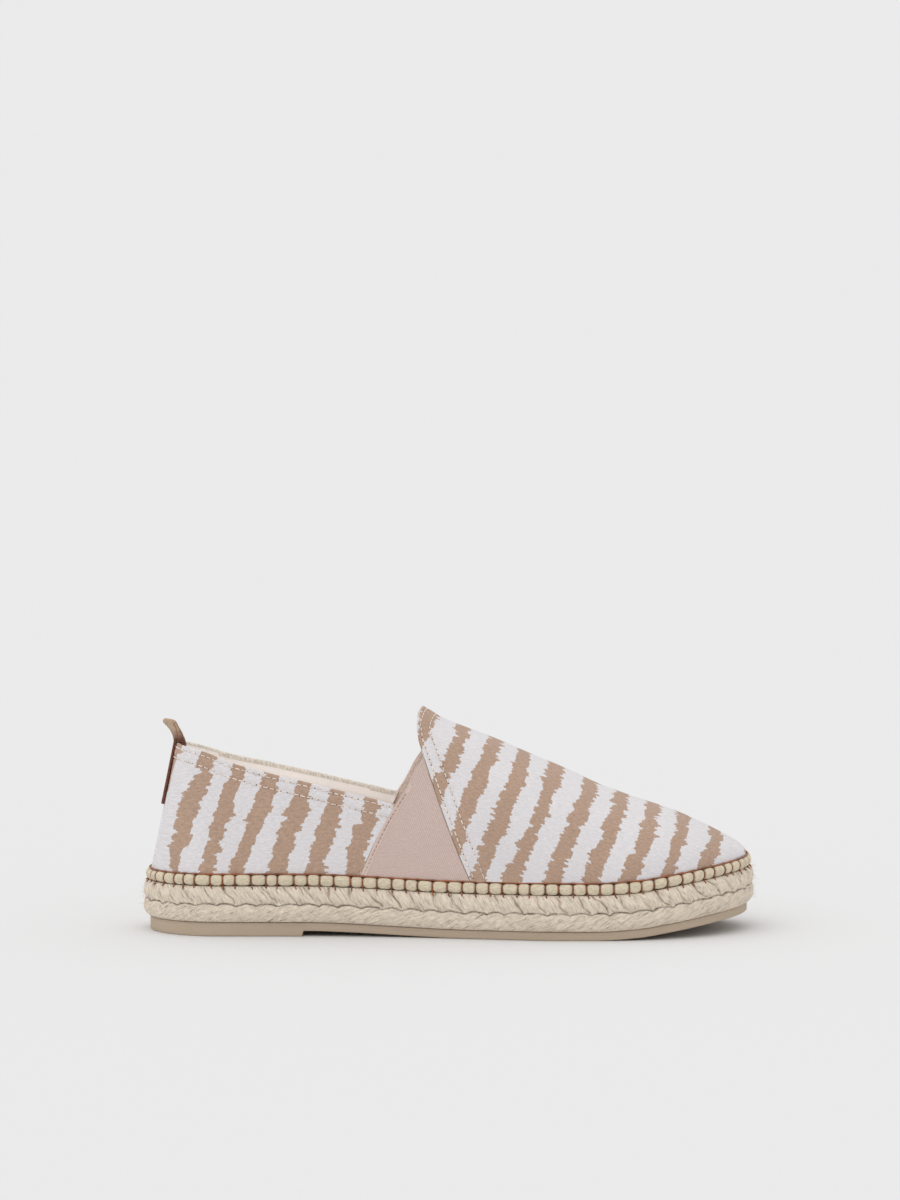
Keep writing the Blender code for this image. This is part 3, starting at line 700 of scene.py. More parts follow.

# %% [markdown]
# ## Creases
# The cloth is new and lies close to the last, yet it isn't quite smooth: it pulls a little from
# the throat towards the ball, and it gives where the side turns to the heel. These soft troughs
# and ridges are listed one by one, each with its middle, direction, length, width and depth. They
# could be made with a cloth simulation, but listed ones land where the real shoe has them.

# %% Troughs and ridges
# side, x, height, slant in degrees, half length, half width, depth (a ridge is below zero)
CREASES = (
    ("outer", -118, 58, 80, 20, 5.0, 0.45), ("outer", -92, 52, 74, 22, 7.0, 0.50),
    ("outer", -64, 47, 70, 18, 8.0, 0.40), ("outer", -105, 50, 76, 20, 5.0, -0.30),
    ("outer", 4, 74, -52, 17, 4.5, 0.60), ("outer", 12, 66, -50, 18, 3.6, -0.40),
    ("outer", 30, 52, -38, 20, 5.0, 0.55), ("outer", 52, 46, 74, 14, 6.0, 0.35),
    ("outer", 78, 44, 72, 12, 5.0, 0.35), ("outer", 104, 40, 64, 9, 4.0, 0.30),
    ("inner", -112, 56, 82, 20, 6.0, 0.50), ("inner", -78, 50, 72, 20, 8.0, 0.45),
    ("inner", 6, 72, -50, 18, 5.0, 0.60), ("inner", 34, 50, -36, 20, 5.0, 0.55),
    ("inner", 62, 46, 70, 13, 6.0, 0.35), ("inner", 92, 42, 68, 10, 5.0, 0.35),
)


def creased(side, points):
    """How deep the creases lie at these points."""
    depth = np.zeros(points.shape[:-1])
    for where, x, height, slant, length, width, deep in CREASES:
        if where != side:
            continue
        away_x, away_z = points[..., 0] - x * MM, points[..., 2] - height * MM
        cos, sin = math.cos(math.radians(slant)), math.sin(math.radians(slant))
        along, across = away_x * cos + away_z * sin, away_z * cos - away_x * sin
        depth += deep * MM * bell(along, 0, length * MM) * bell(across, 0, width * MM)
    return depth


print(len(CREASES), "creases")

# %% [markdown]
# ## Distances from an edge
# Folds, stitch rows and the padded collar all follow an edge at a fixed distance. So each panel
# first works out how far every point lies from the edge in question.


# %% Distance to a line of points
def way_along(points):
    """How far each point of a line lies along it, from its first point. Also for rows of lines."""
    steps = np.linalg.norm(np.diff(points, axis=-2), axis=-1)
    return np.concatenate([np.zeros(steps.shape[:-1] + (1,)), np.cumsum(steps, axis=-1)], axis=-1)


def read_at(at, way, line):
    """The points, or the normals, of a line at these distances along it."""
    return np.stack([np.interp(at, way, line[:, k]) for k in range(3)], axis=-1)


def dense(line, step=0.25 * MM):
    """The same line with points close together."""
    way = way_along(line)
    return read_at(np.linspace(0, way[-1], int(way[-1] / step) + 2), way, line)


def distance_to(line, points):
    line = dense(line)
    flat = points.reshape(-1, 3)
    near = np.full(len(flat), np.inf)
    for part in np.array_split(line, max(1, len(line) // 60)):
        near = np.minimum(near, np.linalg.norm(flat[:, None] - part[None], axis=-1).min(axis=1))
    return near.reshape(points.shape[:-1])


FOLD_ROUNDING = 0.8 * MM
FOLD_DEPTH = 0.6 * MM
STITCH_ROWS = (2.0 * MM, 6.8 * MM)
STITCH_PULL = 0.22 * MM
STITCH_SWELL = 0.30 * MM


def folded(distance):
    """Extra inset that rounds a folded edge over."""
    short = np.clip(1 - distance / FOLD_ROUNDING, 0, 1)
    return FOLD_DEPTH * (1 - np.sqrt(1 - short ** 2))


def stitched(distance):
    """The thread pulls the cloth in along both rows, and it swells between them."""
    pulled = sum(bell(distance, row, 0.7 * MM) for row in STITCH_ROWS)
    swollen = bell(distance, sum(STITCH_ROWS) / 2, 1.9 * MM)
    return STITCH_PULL * pulled - STITCH_SWELL * swollen


print("stitch rows lie", [round(row / MM, 1) for row in STITCH_ROWS], "mm from the edge")

# %% [markdown]
# ## Quarter and vamp
# The upper is two panels of twill with a cotton lining: the quarter around the heel, and the vamp
# over the toes. Each is one closed shell, made from the last twice, once outside and once
# inside. Its lower edge turns in behind the cord, where the real one is folded under and sewn to
# the jute. The collar's lining is padded, so the inner face swells into a roll below the edge.

# %% Shell of a panel
COLLAR_ROLL = 3.0 * MM
TAPE_WIDTH = 1.7 * MM        # of the tape that folds over the edge to the inside
VAMP_PROUD = 0.9 * MM
VAMP_FADE_END = 0.74
CORD_MIDDLE_INSET = CORD_INSET + CORD_DIAMETER / 2
SKIRT_RADIUS = CORD_DIAMETER / 2 + GAP + 0.15 * MM
SKIRT_OUTSIDE = (180, 140, 105)     # places around the cord, in degrees from its outer side
SKIRT_INSIDE = (180, 150, 120)
SKIRT_PAD = ((0, 0), (1 + len(SKIRT_OUTSIDE), 0))
INNER_ROWS_ON = 0.15                # the inner side's rows of yarn are counted from further on


def with_skirt(points, side, share, radius, angles):
    """Puts the turned edge behind the cord, from the jute up to the seam, before rows of points."""
    places = [(CORD_MIDDLE_INSET + radius, GAP)]
    for angle in np.radians(angles):
        places.append((CORD_MIDDLE_INSET - radius * math.cos(angle),
                       GAP + CORD_DIAMETER / 2 + radius * math.sin(angle)))
    rows = []
    for inset, height in places:
        x, y = edge(side, share[:, 0], inset)
        rows.append(np.stack([x, y, jute_top(x) + height], axis=-1))
    return np.concatenate([np.stack(rows, axis=1), points], axis=1)


def counted_at_the_heel(side, share, base, number, wide):
    """Behind the heel the side view can't show the bands, so they are counted along the cloth."""
    middle = share_at(side, HEEL_UNROLLED)
    at = np.argmin(np.abs(share[:, 0] - middle))
    counted = number[at] - (middle - share) * rail(side)["length"] / BAND_WIDTH
    high = ease(base[..., 2] / base[..., 2].max(), *HEEL_STRIP_RISE)
    counted = np.maximum(counted, np.minimum(number[at], blend(HEEL_WHITE, HEEL_STRIP, high)))
    return np.where(share < middle, counted, number), np.where(share < middle, wide[at], wide)


def bridge(a, b, size):
    """The face from two points of one sheet to the same two of the other sheet."""
    return a, b, b + size, a + size


def make_shell(name, panel, feet, climbs, heights, bands, outer_inset, inner_inset, edge_of):
    """Both sides of a panel as one closed shell with twill outside, lining inside, taped edges."""
    points, faces, kinds, band, up, width = [], [], [], [], [], []
    total = 0
    reach = np.round(smooth(panel, "reach", feet, "foot"), 6)
    for side in ("outer", "inner"):
        share, turn = rib_places(side, feet, panel, climbs)
        base = on_last(side, share, turn)
        distance = distance_to(edge_of(base, reach), base)
        station = np.asarray(feet)[:, None]
        extra = creased(side, base)
        outside = on_last(side, share, turn, outer_inset(station, distance) + extra)
        start = turn_to(feet, WALL / crown(edge(side, share[:, 0], FEATHER_INSET)[0]))[:, None]
        share_in, turn_in = rib_places(side, feet, panel, climbs, start)
        inside = on_last(side, share_in, turn_in, inner_inset(station, distance) + extra)
        outside = with_skirt(outside, side, share, SKIRT_RADIUS, SKIRT_OUTSIDE)
        inside = with_skirt(inside, side, share, SKIRT_RADIUS + WALL, SKIRT_INSIDE)

        number, wide = band_number(base, heights, bands)
        if panel is QUARTER:
            number, wide = counted_at_the_heel(side, share, base, number, wide)
        way = way_along(base)
        if panel is VAMP:                               # counted on across the ridge
            first_over = int(np.argmax(reach >= 1))
            full = way[np.maximum(np.arange(len(feet)), first_over), -1]
            way = (full[:, None] - way) * (1 if side == "outer" else -1)
        number, way, wide = (np.pad(each, SKIRT_PAD, mode="edge") for each in (number, way, wide))
        by_the_edge = (np.pad(distance, SKIRT_PAD, constant_values=1.0) < TAPE_WIDTH)[:-1, :-1].ravel()

        columns, rows = outside.shape[:2]
        size = columns * rows
        points += [outside.reshape(-1, 3), inside.reshape(-1, 3)]
        band += [number.ravel(), number.ravel()]
        width += [wide.ravel(), wide.ravel()]
        up += [way.ravel() + (INNER_ROWS_ON if side == "inner" else 0), way.ravel()]
        for flip, first, kind in ((False, total, 0), (True, total + size, 1)):
            quads = grid_faces(first, columns, rows, flip=flip)
            faces += quads.tolist()
            kinds += np.where(by_the_edge & (kind == 1), 2, kind).tolist()
        rims = []
        for i in range(columns - 1):
            a, b = total + i * rows, total + (i + 1) * rows
            rims.append(bridge(a, b, size))
            if min(reach[i], reach[i + 1]) < 1:
                rims.append(bridge(a + rows - 1, b + rows - 1, size))
        end = total + (0 if panel is VAMP else columns - 1) * rows
        rims += [bridge(j, j + 1, size) for j in range(end, end + rows - 1)]
        faces += rims
        kinds += [2] * len(rims)
        total += 2 * size
    return make_piece(name, np.concatenate(points), faces, [twill, lining, tape], kinds,
                      {"band": np.concatenate(band), "up": np.concatenate(up), "wide": np.concatenate(width)})


def finer_at_the_end(count, near=0.02):
    """Steps from 0 to 1 that get small before 1, so that a folded edge comes out round."""
    return np.concatenate([np.linspace(0, 1 - near, count), 1 - near * np.array((0.7, 0.45, 0.25, 0.1, 0.0))])


# %% Quarter
def collar_edge(base, reach):
    return base[:, -1]


quarter_feet = evenly_round(QUARTER["foot"][0], QUARTER["foot"][-1], 96)
quarter = make_shell(
    "quarter", QUARTER, quarter_feet, finer_at_the_end(46), QUARTER_HEIGHTS, QUARTER_BANDS,
    lambda station, distance: folded(distance) + stitched(distance),
    lambda station, distance: WALL - folded(distance) + COLLAR_ROLL * bell(distance, 4.8 * MM, 2.9 * MM),
    collar_edge)
dress(quarter, "canvas", "upper")


# %% Vamp
def vamp_fade(station):
    return 1 - ease(station, VAMP["foot"][4], VAMP_FADE_END)


def vamp_rear_edge(base, reach):
    """Up the first rib, then over the tops of the ribs as far as the ridge."""
    last = int(np.argmax(reach >= 1))
    return np.concatenate([base[0], base[1:last + 1, -1]])


vamp_feet = np.concatenate([VAMP["foot"][0] + np.array((0, 0.4, 0.9, 1.6)) * 0.001,
                            np.linspace(0.536, VAMP_RIDGE_FOOT, 26),
                            evenly_round(VAMP_RIDGE_FOOT, 1.0, 105)[1:]])
vamp = make_shell(
    "vamp", VAMP, vamp_feet, finer_at_the_end(56), VAMP_HEIGHTS, VAMP_BANDS,
    lambda station, distance: folded(distance) + stitched(distance) - VAMP_PROUD * vamp_fade(station),
    lambda station, distance: WALL - folded(distance),
    vamp_rear_edge)
dress(vamp, "canvas", "upper")

# %% [markdown]
# ## The elastic gores
# On each side a triangle of elastic joins quarter and vamp, so that the foot can slip in. It is
# woven with fine ribs that stay parallel while the triangle narrows. The ribs are made as real
# relief: a dense grid of points, moved in and out by a wave across the ribs. A row of stitches runs
# just inside the folded rear edge, and that edge is a little thicker.

# %% Ribbed elastic
GORE_PROUD = 0.35 * MM
GORE_BACK = 1.3 * MM
GORE_RIB_PITCH = 0.95 * MM
GORE_RIB_DEPTH = 0.07 * MM
GORE_RIB_SLANT = math.radians(112)      # direction of the ribs in the side view
GORE_FOLD = 2.6 * MM                    # width of the doubled strip along the rear edge
GORE_STITCH_ROW = 1.4 * MM
GORE_BOW = 0.5 * MM                     # the elastic is hollow in the middle
GORE_SKIRT_INSIDE = (180, 155, 135)
ELASTIC_YARN = 0.7 * MM


def make_elastic(name, base):
    elastic = Finish(name)
    place = elastic.place()
    rib = elastic.attribute("rib")
    fine = elastic.noise(place, 1300.0, 1.0)
    cloud = elastic.noise(place, 50.0, 3.0)
    yarn = elastic.math("SINE", elastic.math("MULTIPLY", elastic.attribute("up"), math.tau / ELASTIC_YARN))
    # The rib value is low in the grooves of the relief, so they come out darker: painted shade.
    shade = elastic.tint(base, (0.87, 1.08, rib), (0.88, 1.12, fine), (0.97, 1.03, cloud))
    relief = elastic.math("ADD", fine, elastic.math("MULTIPLY", yarn, 0.4))
    return elastic.done(shade, 0.85, elastic.bump(relief, 0.08 * MM), sheen=0.1, specular=0.25)


elastic = make_elastic("elastic", colour(206, 184, 175))
# The back face gets a lighter copy of the elastic: painted light for a face that lies in shade inside the
# shoe.
elastic_back_painted_light = make_elastic("elastic_back_painted_light", colour(236, 216, 206))


def make_gore(side):
    clear = 0.35 * MM / SOLE_LENGTH
    feet = np.linspace(GORE["foot"][0] + 2 * clear, VAMP["foot"][0] - clear, 200)
    head = np.interp(feet, (feet[0], feet[-1]), (GORE["head"][0] + 2 * clear, VAMP["head"][0] - clear))
    climbs = np.linspace(0, 1, 120)
    reach = smooth(GORE, "reach", np.linspace(GORE["foot"][0], GORE["foot"][-1], len(feet)), "foot")
    panel = {"foot": feet, "head": head, "reach": reach}
    share, turn = rib_places(side, feet, panel, climbs)
    base = on_last(side, share, turn)
    rear = distance_to(base[0], base)
    top = distance_to(base[:, -1], base)
    cos, sin = math.cos(GORE_RIB_SLANT), math.sin(GORE_RIB_SLANT)
    across = base[..., 0] * sin - base[..., 2] * cos
    rib = 0.5 + 0.5 * np.cos(across * math.tau / GORE_RIB_PITCH)
    doubled = 1 - ease(rear, GORE_FOLD - 0.5 * MM, GORE_FOLD + 0.3 * MM)
    stitch = bell(rear, GORE_STITCH_ROW, 0.5 * MM)
    bowed = GORE_BOW * bell(np.linspace(0, 1, len(feet))[:, None], 0.55, 0.35)
    bowed = bowed * np.sin(math.pi * climbs)[None, :]
    outside = (-GORE_PROUD - 0.25 * MM * doubled + 0.2 * MM * stitch + GORE_RIB_DEPTH * rib * (1 - doubled)
               + folded(rear) * 0.7 + folded(top) * 0.7 + bowed)
    front = on_last(side, share, turn, outside)
    back = on_last(side, share, turn, GORE_BACK - 0.5 * folded(top) + bowed)
    front = with_skirt(front, side, share, SKIRT_RADIUS, SKIRT_OUTSIDE)
    back = with_skirt(back, side, share, SKIRT_RADIUS + GORE_BACK, GORE_SKIRT_INSIDE)
    columns, rows = front.shape[:2]
    size = columns * rows
    faces = grid_faces(0, columns, rows).tolist() + grid_faces(size, columns, rows, flip=True).tolist()
    kinds = np.repeat((0, 1), len(faces) // 2).tolist()
    for end in (0, (columns - 1) * rows):
        faces += [bridge(j, j + 1, size) for j in range(end, end + rows - 1)]
    for j in (0, rows - 1):
        faces += [bridge(i * rows + j, (i + 1) * rows + j, size) for i in range(columns - 1)]
    kinds += [0] * (len(faces) - len(kinds))
    # rib is low in the grooves, where the finish paints shade, and high on the crests and the doubled strip
    values = {"rib": np.tile(np.pad(1 - rib * (1 - doubled), SKIRT_PAD, mode="edge").ravel(), 2),
              "up": np.tile(np.pad(way_along(base), SKIRT_PAD).ravel(), 2)}
    piece = make_piece("gore_" + side, np.concatenate([front.reshape(-1, 3), back.reshape(-1, 3)]), faces,
                       [elastic, elastic_back_painted_light], kinds, values)
    dress(piece, "elastic", "gore_" + side)
    return share[0, 3:], turn[0, 3:]


gore_rear = {side: make_gore(side) for side in ("outer", "inner")}

# %% [markdown]
# ## Stitches
# A row of stitches is a line that follows an edge over the curved last, cut into short threads.
# The line is found by walking sideways from the edge, a little at a time, along the surface. Each
# stitch is a small tube whose ends sink into the cloth, with a dark spot at its first end: the
# needle hole, in painted shade.


# %% Lines beside an edge
def unit(vectors):
    return vectors / np.maximum(np.linalg.norm(vectors, axis=-1, keepdims=True), 1e-12)


def surface_at(side, share, turn):
    """Points on the last, both directions along it, and its outward normal."""
    tiny = 1e-4
    turn = np.maximum(turn, 0.02)
    here = on_last(side, share, turn)
    by_share = (on_last(side, share + tiny, turn) - here) / tiny
    by_turn = (here - on_last(side, share, turn - tiny)) / tiny
    normal = unit(np.cross(by_share, by_turn))
    if side == "inner":
        normal = -normal
    return here, by_share, by_turn, normal


def beside(side, share, turn, distance, toward):
    """Moves a line of places over the last, square to itself. Toward is "down" or "front"."""
    share, turn = share.copy(), turn.copy()
    steps = max(1, int(abs(distance) / (0.8 * MM)))
    for _ in range(steps):
        here, by_share, by_turn, normal = surface_at(side, share, turn)
        along = unit(np.gradient(here, axis=0))
        across = unit(np.cross(normal, along))
        g11, g12, g22 = (by_share ** 2).sum(-1), (by_share * by_turn).sum(-1), (by_turn ** 2).sum(-1)
        r1, r2 = (across * by_share).sum(-1), (across * by_turn).sum(-1)
        det = g11 * g22 - g12 ** 2
        move_share, move_turn = (g22 * r1 - g12 * r2) / det, (g11 * r2 - g12 * r1) / det
        wrong = np.median(move_turn) > 0 if toward == "down" else np.median(move_share) < 0
        sign = -1 if wrong else 1
        share += sign * move_share * distance / steps
        turn = np.minimum(turn + sign * move_turn * distance / steps, math.pi / 2)
    return share, turn


def smooth_line(values, rounds=6):
    """Evens out a line of numbers without moving its ends."""
    for _ in range(rounds):
        values = np.concatenate([values[:1], (values[:-2] + 2 * values[1:-1] + values[2:]) / 4, values[-1:]])
    return values


# %% Tubes and stitches
def tube(path, radii, across_ways, sides=6):
    """Rings of points around a path. Across ways says where each ring's first corner points."""
    along = unit(np.gradient(path, axis=0))
    first = unit(across_ways - (across_ways * along).sum(-1, keepdims=True) * along)
    return circles(path, radii, first, np.cross(along, first), sides)


def circles(path, radii, first, second, sides):
    """A ring of points around each point of a path, in the plane of two directions."""
    angles = np.arange(sides) * math.tau / sides
    rings = (path[:, None] + radii[:, None, None] * (np.cos(angles)[None, :, None] * first[:, None]
                                                     + np.sin(angles)[None, :, None] * second[:, None]))
    return rings.reshape(-1, 3)


def ring_walls(first, count, sides, closed=False):
    """Quads between rings that follow each other. If closed, the last one meets the first again."""
    i = np.arange(count if closed else count - 1)[:, None] * sides
    j = np.arange(sides)[None, :]
    after, up = (j + 1) % sides, (i + sides) % (count * sides)
    return (np.stack([i + j, i + after, up + after, up + j], axis=-1).reshape(-1, 4) + first).tolist()


def tube_faces(first, count, sides):
    """The wall of a tube and a cap at each end."""
    last = first + (count - 1) * sides
    return ring_walls(first, count, sides) + [list(range(end, end + sides)) for end in (first, last)]


ARCH = np.array((-0.30, 0.02, 0.17, 0.20, 0.17, 0.02, -0.30)) * MM
ARCH_THICKNESS = np.array((0.55, 0.9, 1.0, 1.0, 1.0, 0.9, 0.55))


def sew(name, rows, thread, slot, pitch=2.95 * MM, length=2.5 * MM, radius=0.28 * MM, seed=1):
    """Stitches along rows of points with their normals, joined to one piece."""
    random = np.random.default_rng(seed)
    points, faces, shade, holes = [], [], [], []
    for line, normals in rows:
        way = way_along(line)
        for middle in np.arange(pitch * 0.6, way[-1] - pitch * 0.5, pitch):
            at = middle + np.linspace(-0.5, 0.5, len(ARCH)) * length * random.uniform(0.93, 1.05)
            place, normal = read_at(at, way, line), unit(read_at(at, way, normals))
            path = place + normal * ARCH[:, None] + random.uniform(-0.08, 0.08) * MM
            faces += tube_faces(sum(map(len, points)), len(path), 6)
            points.append(tube(path, radius * ARCH_THICKNESS, normal))
            shade.append(np.full(len(points[-1]), random.uniform()))
            holes.append((place[0], normal[0]))
    piece = make_piece(name, np.concatenate(points), faces, [thread], None,
                       {"shade": np.concatenate(shade)}, sharp=80)
    dress(piece, slot)
    return holes


def make_thread(name, colour_of_thread, shine=0.3):
    thread = Finish(name)
    place = thread.place()
    ply = thread.noise(place, 2600.0, 1.0)
    shade = thread.tint(colour_of_thread, (0.80, 1.12, thread.attribute("shade")), (0.85, 1.12, ply))
    return thread.done(shade, 0.65, thread.bump(ply, 0.08 * MM), sheen=0.1, specular=shine)


cream_thread = make_thread("cream_thread", colour(240, 226, 214))
pale_thread = make_thread("pale_thread", colour(214, 190, 176))

# %% Rows of stitches
def sewn_line(side, share, turn, distance, toward, inset):
    share, turn = beside(side, smooth_line(share), smooth_line(turn), distance, toward)
    share, turn = smooth_line(share), smooth_line(turn)
    if toward == "front":
        share, turn = down_to_the_seam(share, turn)
    normal = surface_at(side, share, np.minimum(turn, math.pi / 2 - 0.02))[3]
    return on_last(side, share, turn, inset), normal


def down_to_the_seam(share, turn):
    """Runs a line straight on from its first place until it meets the seam."""
    slope = (share[8] - share[0]) / (turn[8] - turn[0])
    more = np.linspace(0.008, turn[0], 12)[:-1]
    return np.concatenate([share[0] + (more - turn[0]) * slope, share]), np.concatenate([more, turn])


collar_rows, vamp_rows, gore_rows = [], [], []
for side in ("outer", "inner"):
    share, turn = rib_places(side, evenly_round(0.001, QUARTER["foot"][-1], 80), QUARTER, (0.9, 1.0))
    for row in STITCH_ROWS:
        collar_rows.append(sewn_line(side, share[:, -1], turn[:, -1], row, "down", 0.10 * MM))

    rear_ribs = np.linspace(VAMP["foot"][0], VAMP_RIDGE_FOOT, 60)
    up_share, up_turn = rib_places(side, rear_ribs[:1], VAMP, np.linspace(0.03, 1, 50))
    top_share, top_turn = rib_places(side, rear_ribs, VAMP, (0.5, 1.0))
    share = np.concatenate([up_share[0], top_share[1:, -1]])
    turn = np.concatenate([up_turn[0], top_turn[1:, -1]])
    for row in STITCH_ROWS:
        vamp_rows.append(sewn_line(side, share, turn, row, "front", 0.12 * MM - VAMP_PROUD))

    share, turn = gore_rear[side]
    gore_rows.append(sewn_line(side, share, turn, GORE_STITCH_ROW, "front", -GORE_PROUD - 0.05 * MM))

holes = sew("collar_stitches", collar_rows, cream_thread, "canvas", seed=11)
holes += sew("vamp_stitches", vamp_rows, cream_thread, "canvas", seed=12)
holes += sew("gore_stitches", gore_rows, pale_thread, "elastic", pitch=2.1 * MM, length=1.5 * MM,
             radius=0.2 * MM, seed=13)

# %% [markdown]
# ## Needle holes
# The needle leaves a small hole wherever the thread goes in, and shade makes it look dark. On the
# white bands these specks show more than the thread does. Each one is a flat lens of a few faces
# that sits in the cloth at the first end of a stitch, in a dark colour: painted shade.

# %% Needle holes
HOLE_RADIUS = 0.34 * MM


def make_hole_shade():
    dark = Finish("needle_hole_painted_shade")
    place = dark.place()
    # A dark lens stands for the needle hole: its colour is painted shade, not the colour of the cloth.
    shade = dark.tint(colour(118, 104, 98), (0.6, 1.3, dark.noise(place, 900.0)))
    return dark.done(shade, 1.0, specular=0.05)


def lenses(name, spots, radius, material, slot, seed):
    random = np.random.default_rng(seed)
    points, faces = [], []
    for k, (place, normal) in enumerate(spots):
        sideways = unit(np.cross(normal, (0.3, 0.2, 1.0)))
        second = np.cross(normal, sideways)
        size = radius * random.uniform(0.6, 1.15)
        angles = np.arange(6) * math.tau / 6
        rim = place + size * (np.cos(angles)[:, None] * sideways + np.sin(angles)[:, None] * second)
        points += [rim, place[None] + normal * 0.10 * MM, place[None] - normal * 0.25 * MM]
        first = 8 * k
        for i in range(6):
            j = (i + 1) % 6
            faces += [(first + i, first + j, first + 6), (first + j, first + i, first + 7)]
    dress(make_piece(name, np.concatenate(points), faces, [material], sharp=80), slot)


lenses("needle_holes", holes, HOLE_RADIUS, make_hole_shade(), "canvas", seed=14)

# %% [markdown]
# ## The seam cord
# A soft cord lies on the jute all around the upper, and brown waxed thread is whipped over it,
# through upper and jute. Each wrap pinches the cord, so that it looks like a string of beads. The
# cord is one ring whose radius swells and sinks. The beads aren't quite alike, because the wraps
# are set by hand, so each bead gets its own length and thickness from a seeded draw.

# %% Beads of the cord
BEADS = 2 * round(ROUND_THE_SOLE / 2 / BEAD_PITCH)
BEAD_SECTIONS = 10
BEAD_SIDES = 16
PINCH = 0.95 * MM
bead_draw = np.random.default_rng(21)
wrap_turns = (np.arange(BEADS) + bead_draw.uniform(-0.13, 0.13, BEADS)) * 2 / BEADS
bead_girth = bead_draw.uniform(0.955, 1.03, BEADS)
bead_lift = bead_draw.uniform(-0.12, 0.12, BEADS) * MM


def make_cord_cloth():
    cord = Finish("cord")
    place = cord.place()
    fibre = cord.span(cord.fibres(place, 520.0, 520.0, 1300.0, 3.0), 0.3, 0.7)
    blot = cord.noise(place, 120.0, 2.0)
    deep = cord.attribute("deep")
    shade = cord.tint(colour(219, 205, 180), (0.82, 1.10, fibre), (0.90, 1.10, blot))
    # Where the wraps pinch the cord between beads the colour darkens: painted shade in the necks.
    shade = cord.mix(cord.span(deep, 0.35, 0.95, 0.0, 0.85), shade, colour(104, 78, 54))
    return cord.done(shade, 0.85, cord.bump(fibre, 0.25 * MM), sheen=0.08, specular=0.25)


def ring_points(turn, inset, height):
    """Points around the sole, a height above the top of the jute."""
    x, y = ring(turn, inset)
    return np.stack([x, y, jute_top(x) + height], axis=-1)


def make_beads():
    points, deep = [], []
    angles = (np.arange(BEAD_SIDES) + 0.5) * math.tau / BEAD_SIDES
    after = np.append(wrap_turns[1:], wrap_turns[0] + 2)
    for k in range(BEADS):
        for q in np.arange(BEAD_SECTIONS) / BEAD_SECTIONS:
            bulge = 1 - abs(2 * q - 1) ** 3.4
            radius = bead_girth[k] * CORD_DIAMETER / 2 - PINCH * (1 - bulge)
            squarish = 1 + 0.07 * np.abs(np.sin(2 * angles)) ** 1.5 * bulge
            x = radius * squarish * np.cos(angles)
            z = radius * squarish * np.sin(angles) * 1.03 + bead_lift[k] * bulge
            turn = wrap_turns[k] + (after[k] - wrap_turns[k]) * q
            points.append(ring_points(np.full(BEAD_SIDES, turn), CORD_MIDDLE_INSET - x,
                                      GAP + CORD_DIAMETER / 2 + z))
            # deep is 1 at the pinched necks, where the finish paints shade
            deep.append(np.full(BEAD_SIDES, 1 - bulge))
    faces = ring_walls(0, BEADS * BEAD_SECTIONS, BEAD_SIDES, closed=True)
    return make_piece("seam_cord_beads", np.concatenate(points), faces, [make_cord_cloth()], None,
                      {"deep": np.concatenate(deep)}, sharp=80)


dress(make_beads(), "cord", "seam_cord")
print(BEADS, "beads of about", round(ROUND_THE_SOLE / BEADS / MM, 1), "mm")

# %% [markdown]
# ## The whipping thread
# Between two beads the thread comes out under the upper, runs over the cord and into the jute.
# Another run of thread lies along the top of the cord, against the cloth. Both are tubes around
# paths that start and end inside other pieces, so that no cut end shows.

# %% Wraps and top thread
WRAP_RADIUS = 0.34 * MM
TOP_THREAD_RADIUS = 0.42 * MM
WRAP_ANGLES = np.radians(np.linspace(112, -78, 12))     # over the cord, from above to below


def make_wax_thread():
    wax = Finish("waxed_thread")
    place = wax.place()
    ply = wax.noise(place, 1800.0, 1.0)
    blot = wax.noise(place, 160.0, 1.0)
    shade = wax.tint(colour(150, 92, 62), (0.70, 1.2, ply), (0.62, 1.25, wax.span(blot, 0.3, 0.7)))
    return wax.done(shade, 0.5, wax.bump(ply, 0.08 * MM), specular=0.4)


waxed = make_wax_thread()


def make_wraps():
    random = np.random.default_rng(22)
    points, faces = [], []
    pinched = CORD_DIAMETER / 2 - PINCH + WRAP_RADIUS * 0.75
    sides = 6
    for k, turn in enumerate(wrap_turns):
        lean = random.uniform(-0.5, 0.5) * MM / ROUND_THE_SOLE * 2
        along = turn + lean * np.linspace(-1, 1, len(WRAP_ANGLES))
        path = ring_points(along, CORD_MIDDLE_INSET - pinched * np.cos(WRAP_ANGLES),
                           GAP + CORD_DIAMETER / 2 + pinched * np.sin(WRAP_ANGLES) * 1.04)
        reach = random.uniform(0.7, 1.9) * MM
        drift = random.uniform(-0.2, 1.3) * MM / ROUND_THE_SOLE * 2
        down = np.linspace(0.4, 1, 3)
        tail = ring_points(along[-1] + drift * down, np.full(3, 0.9 * MM) + 1.6 * MM * (1 - down) ** 2,
                           -reach * down + 0.2 * MM)
        path = np.concatenate([path[:-1], tail])
        radii = np.full(len(path), WRAP_RADIUS)
        radii[-1] *= 0.5
        faces += tube_faces(len(points) * sides * len(path), len(path), sides)
        points.append(tube(path, radii, np.tile((0.05, 0.02, 1.0), (len(path), 1)), sides))
    return make_piece("thread_wraps", np.concatenate(points), faces, [waxed], sharp=80)


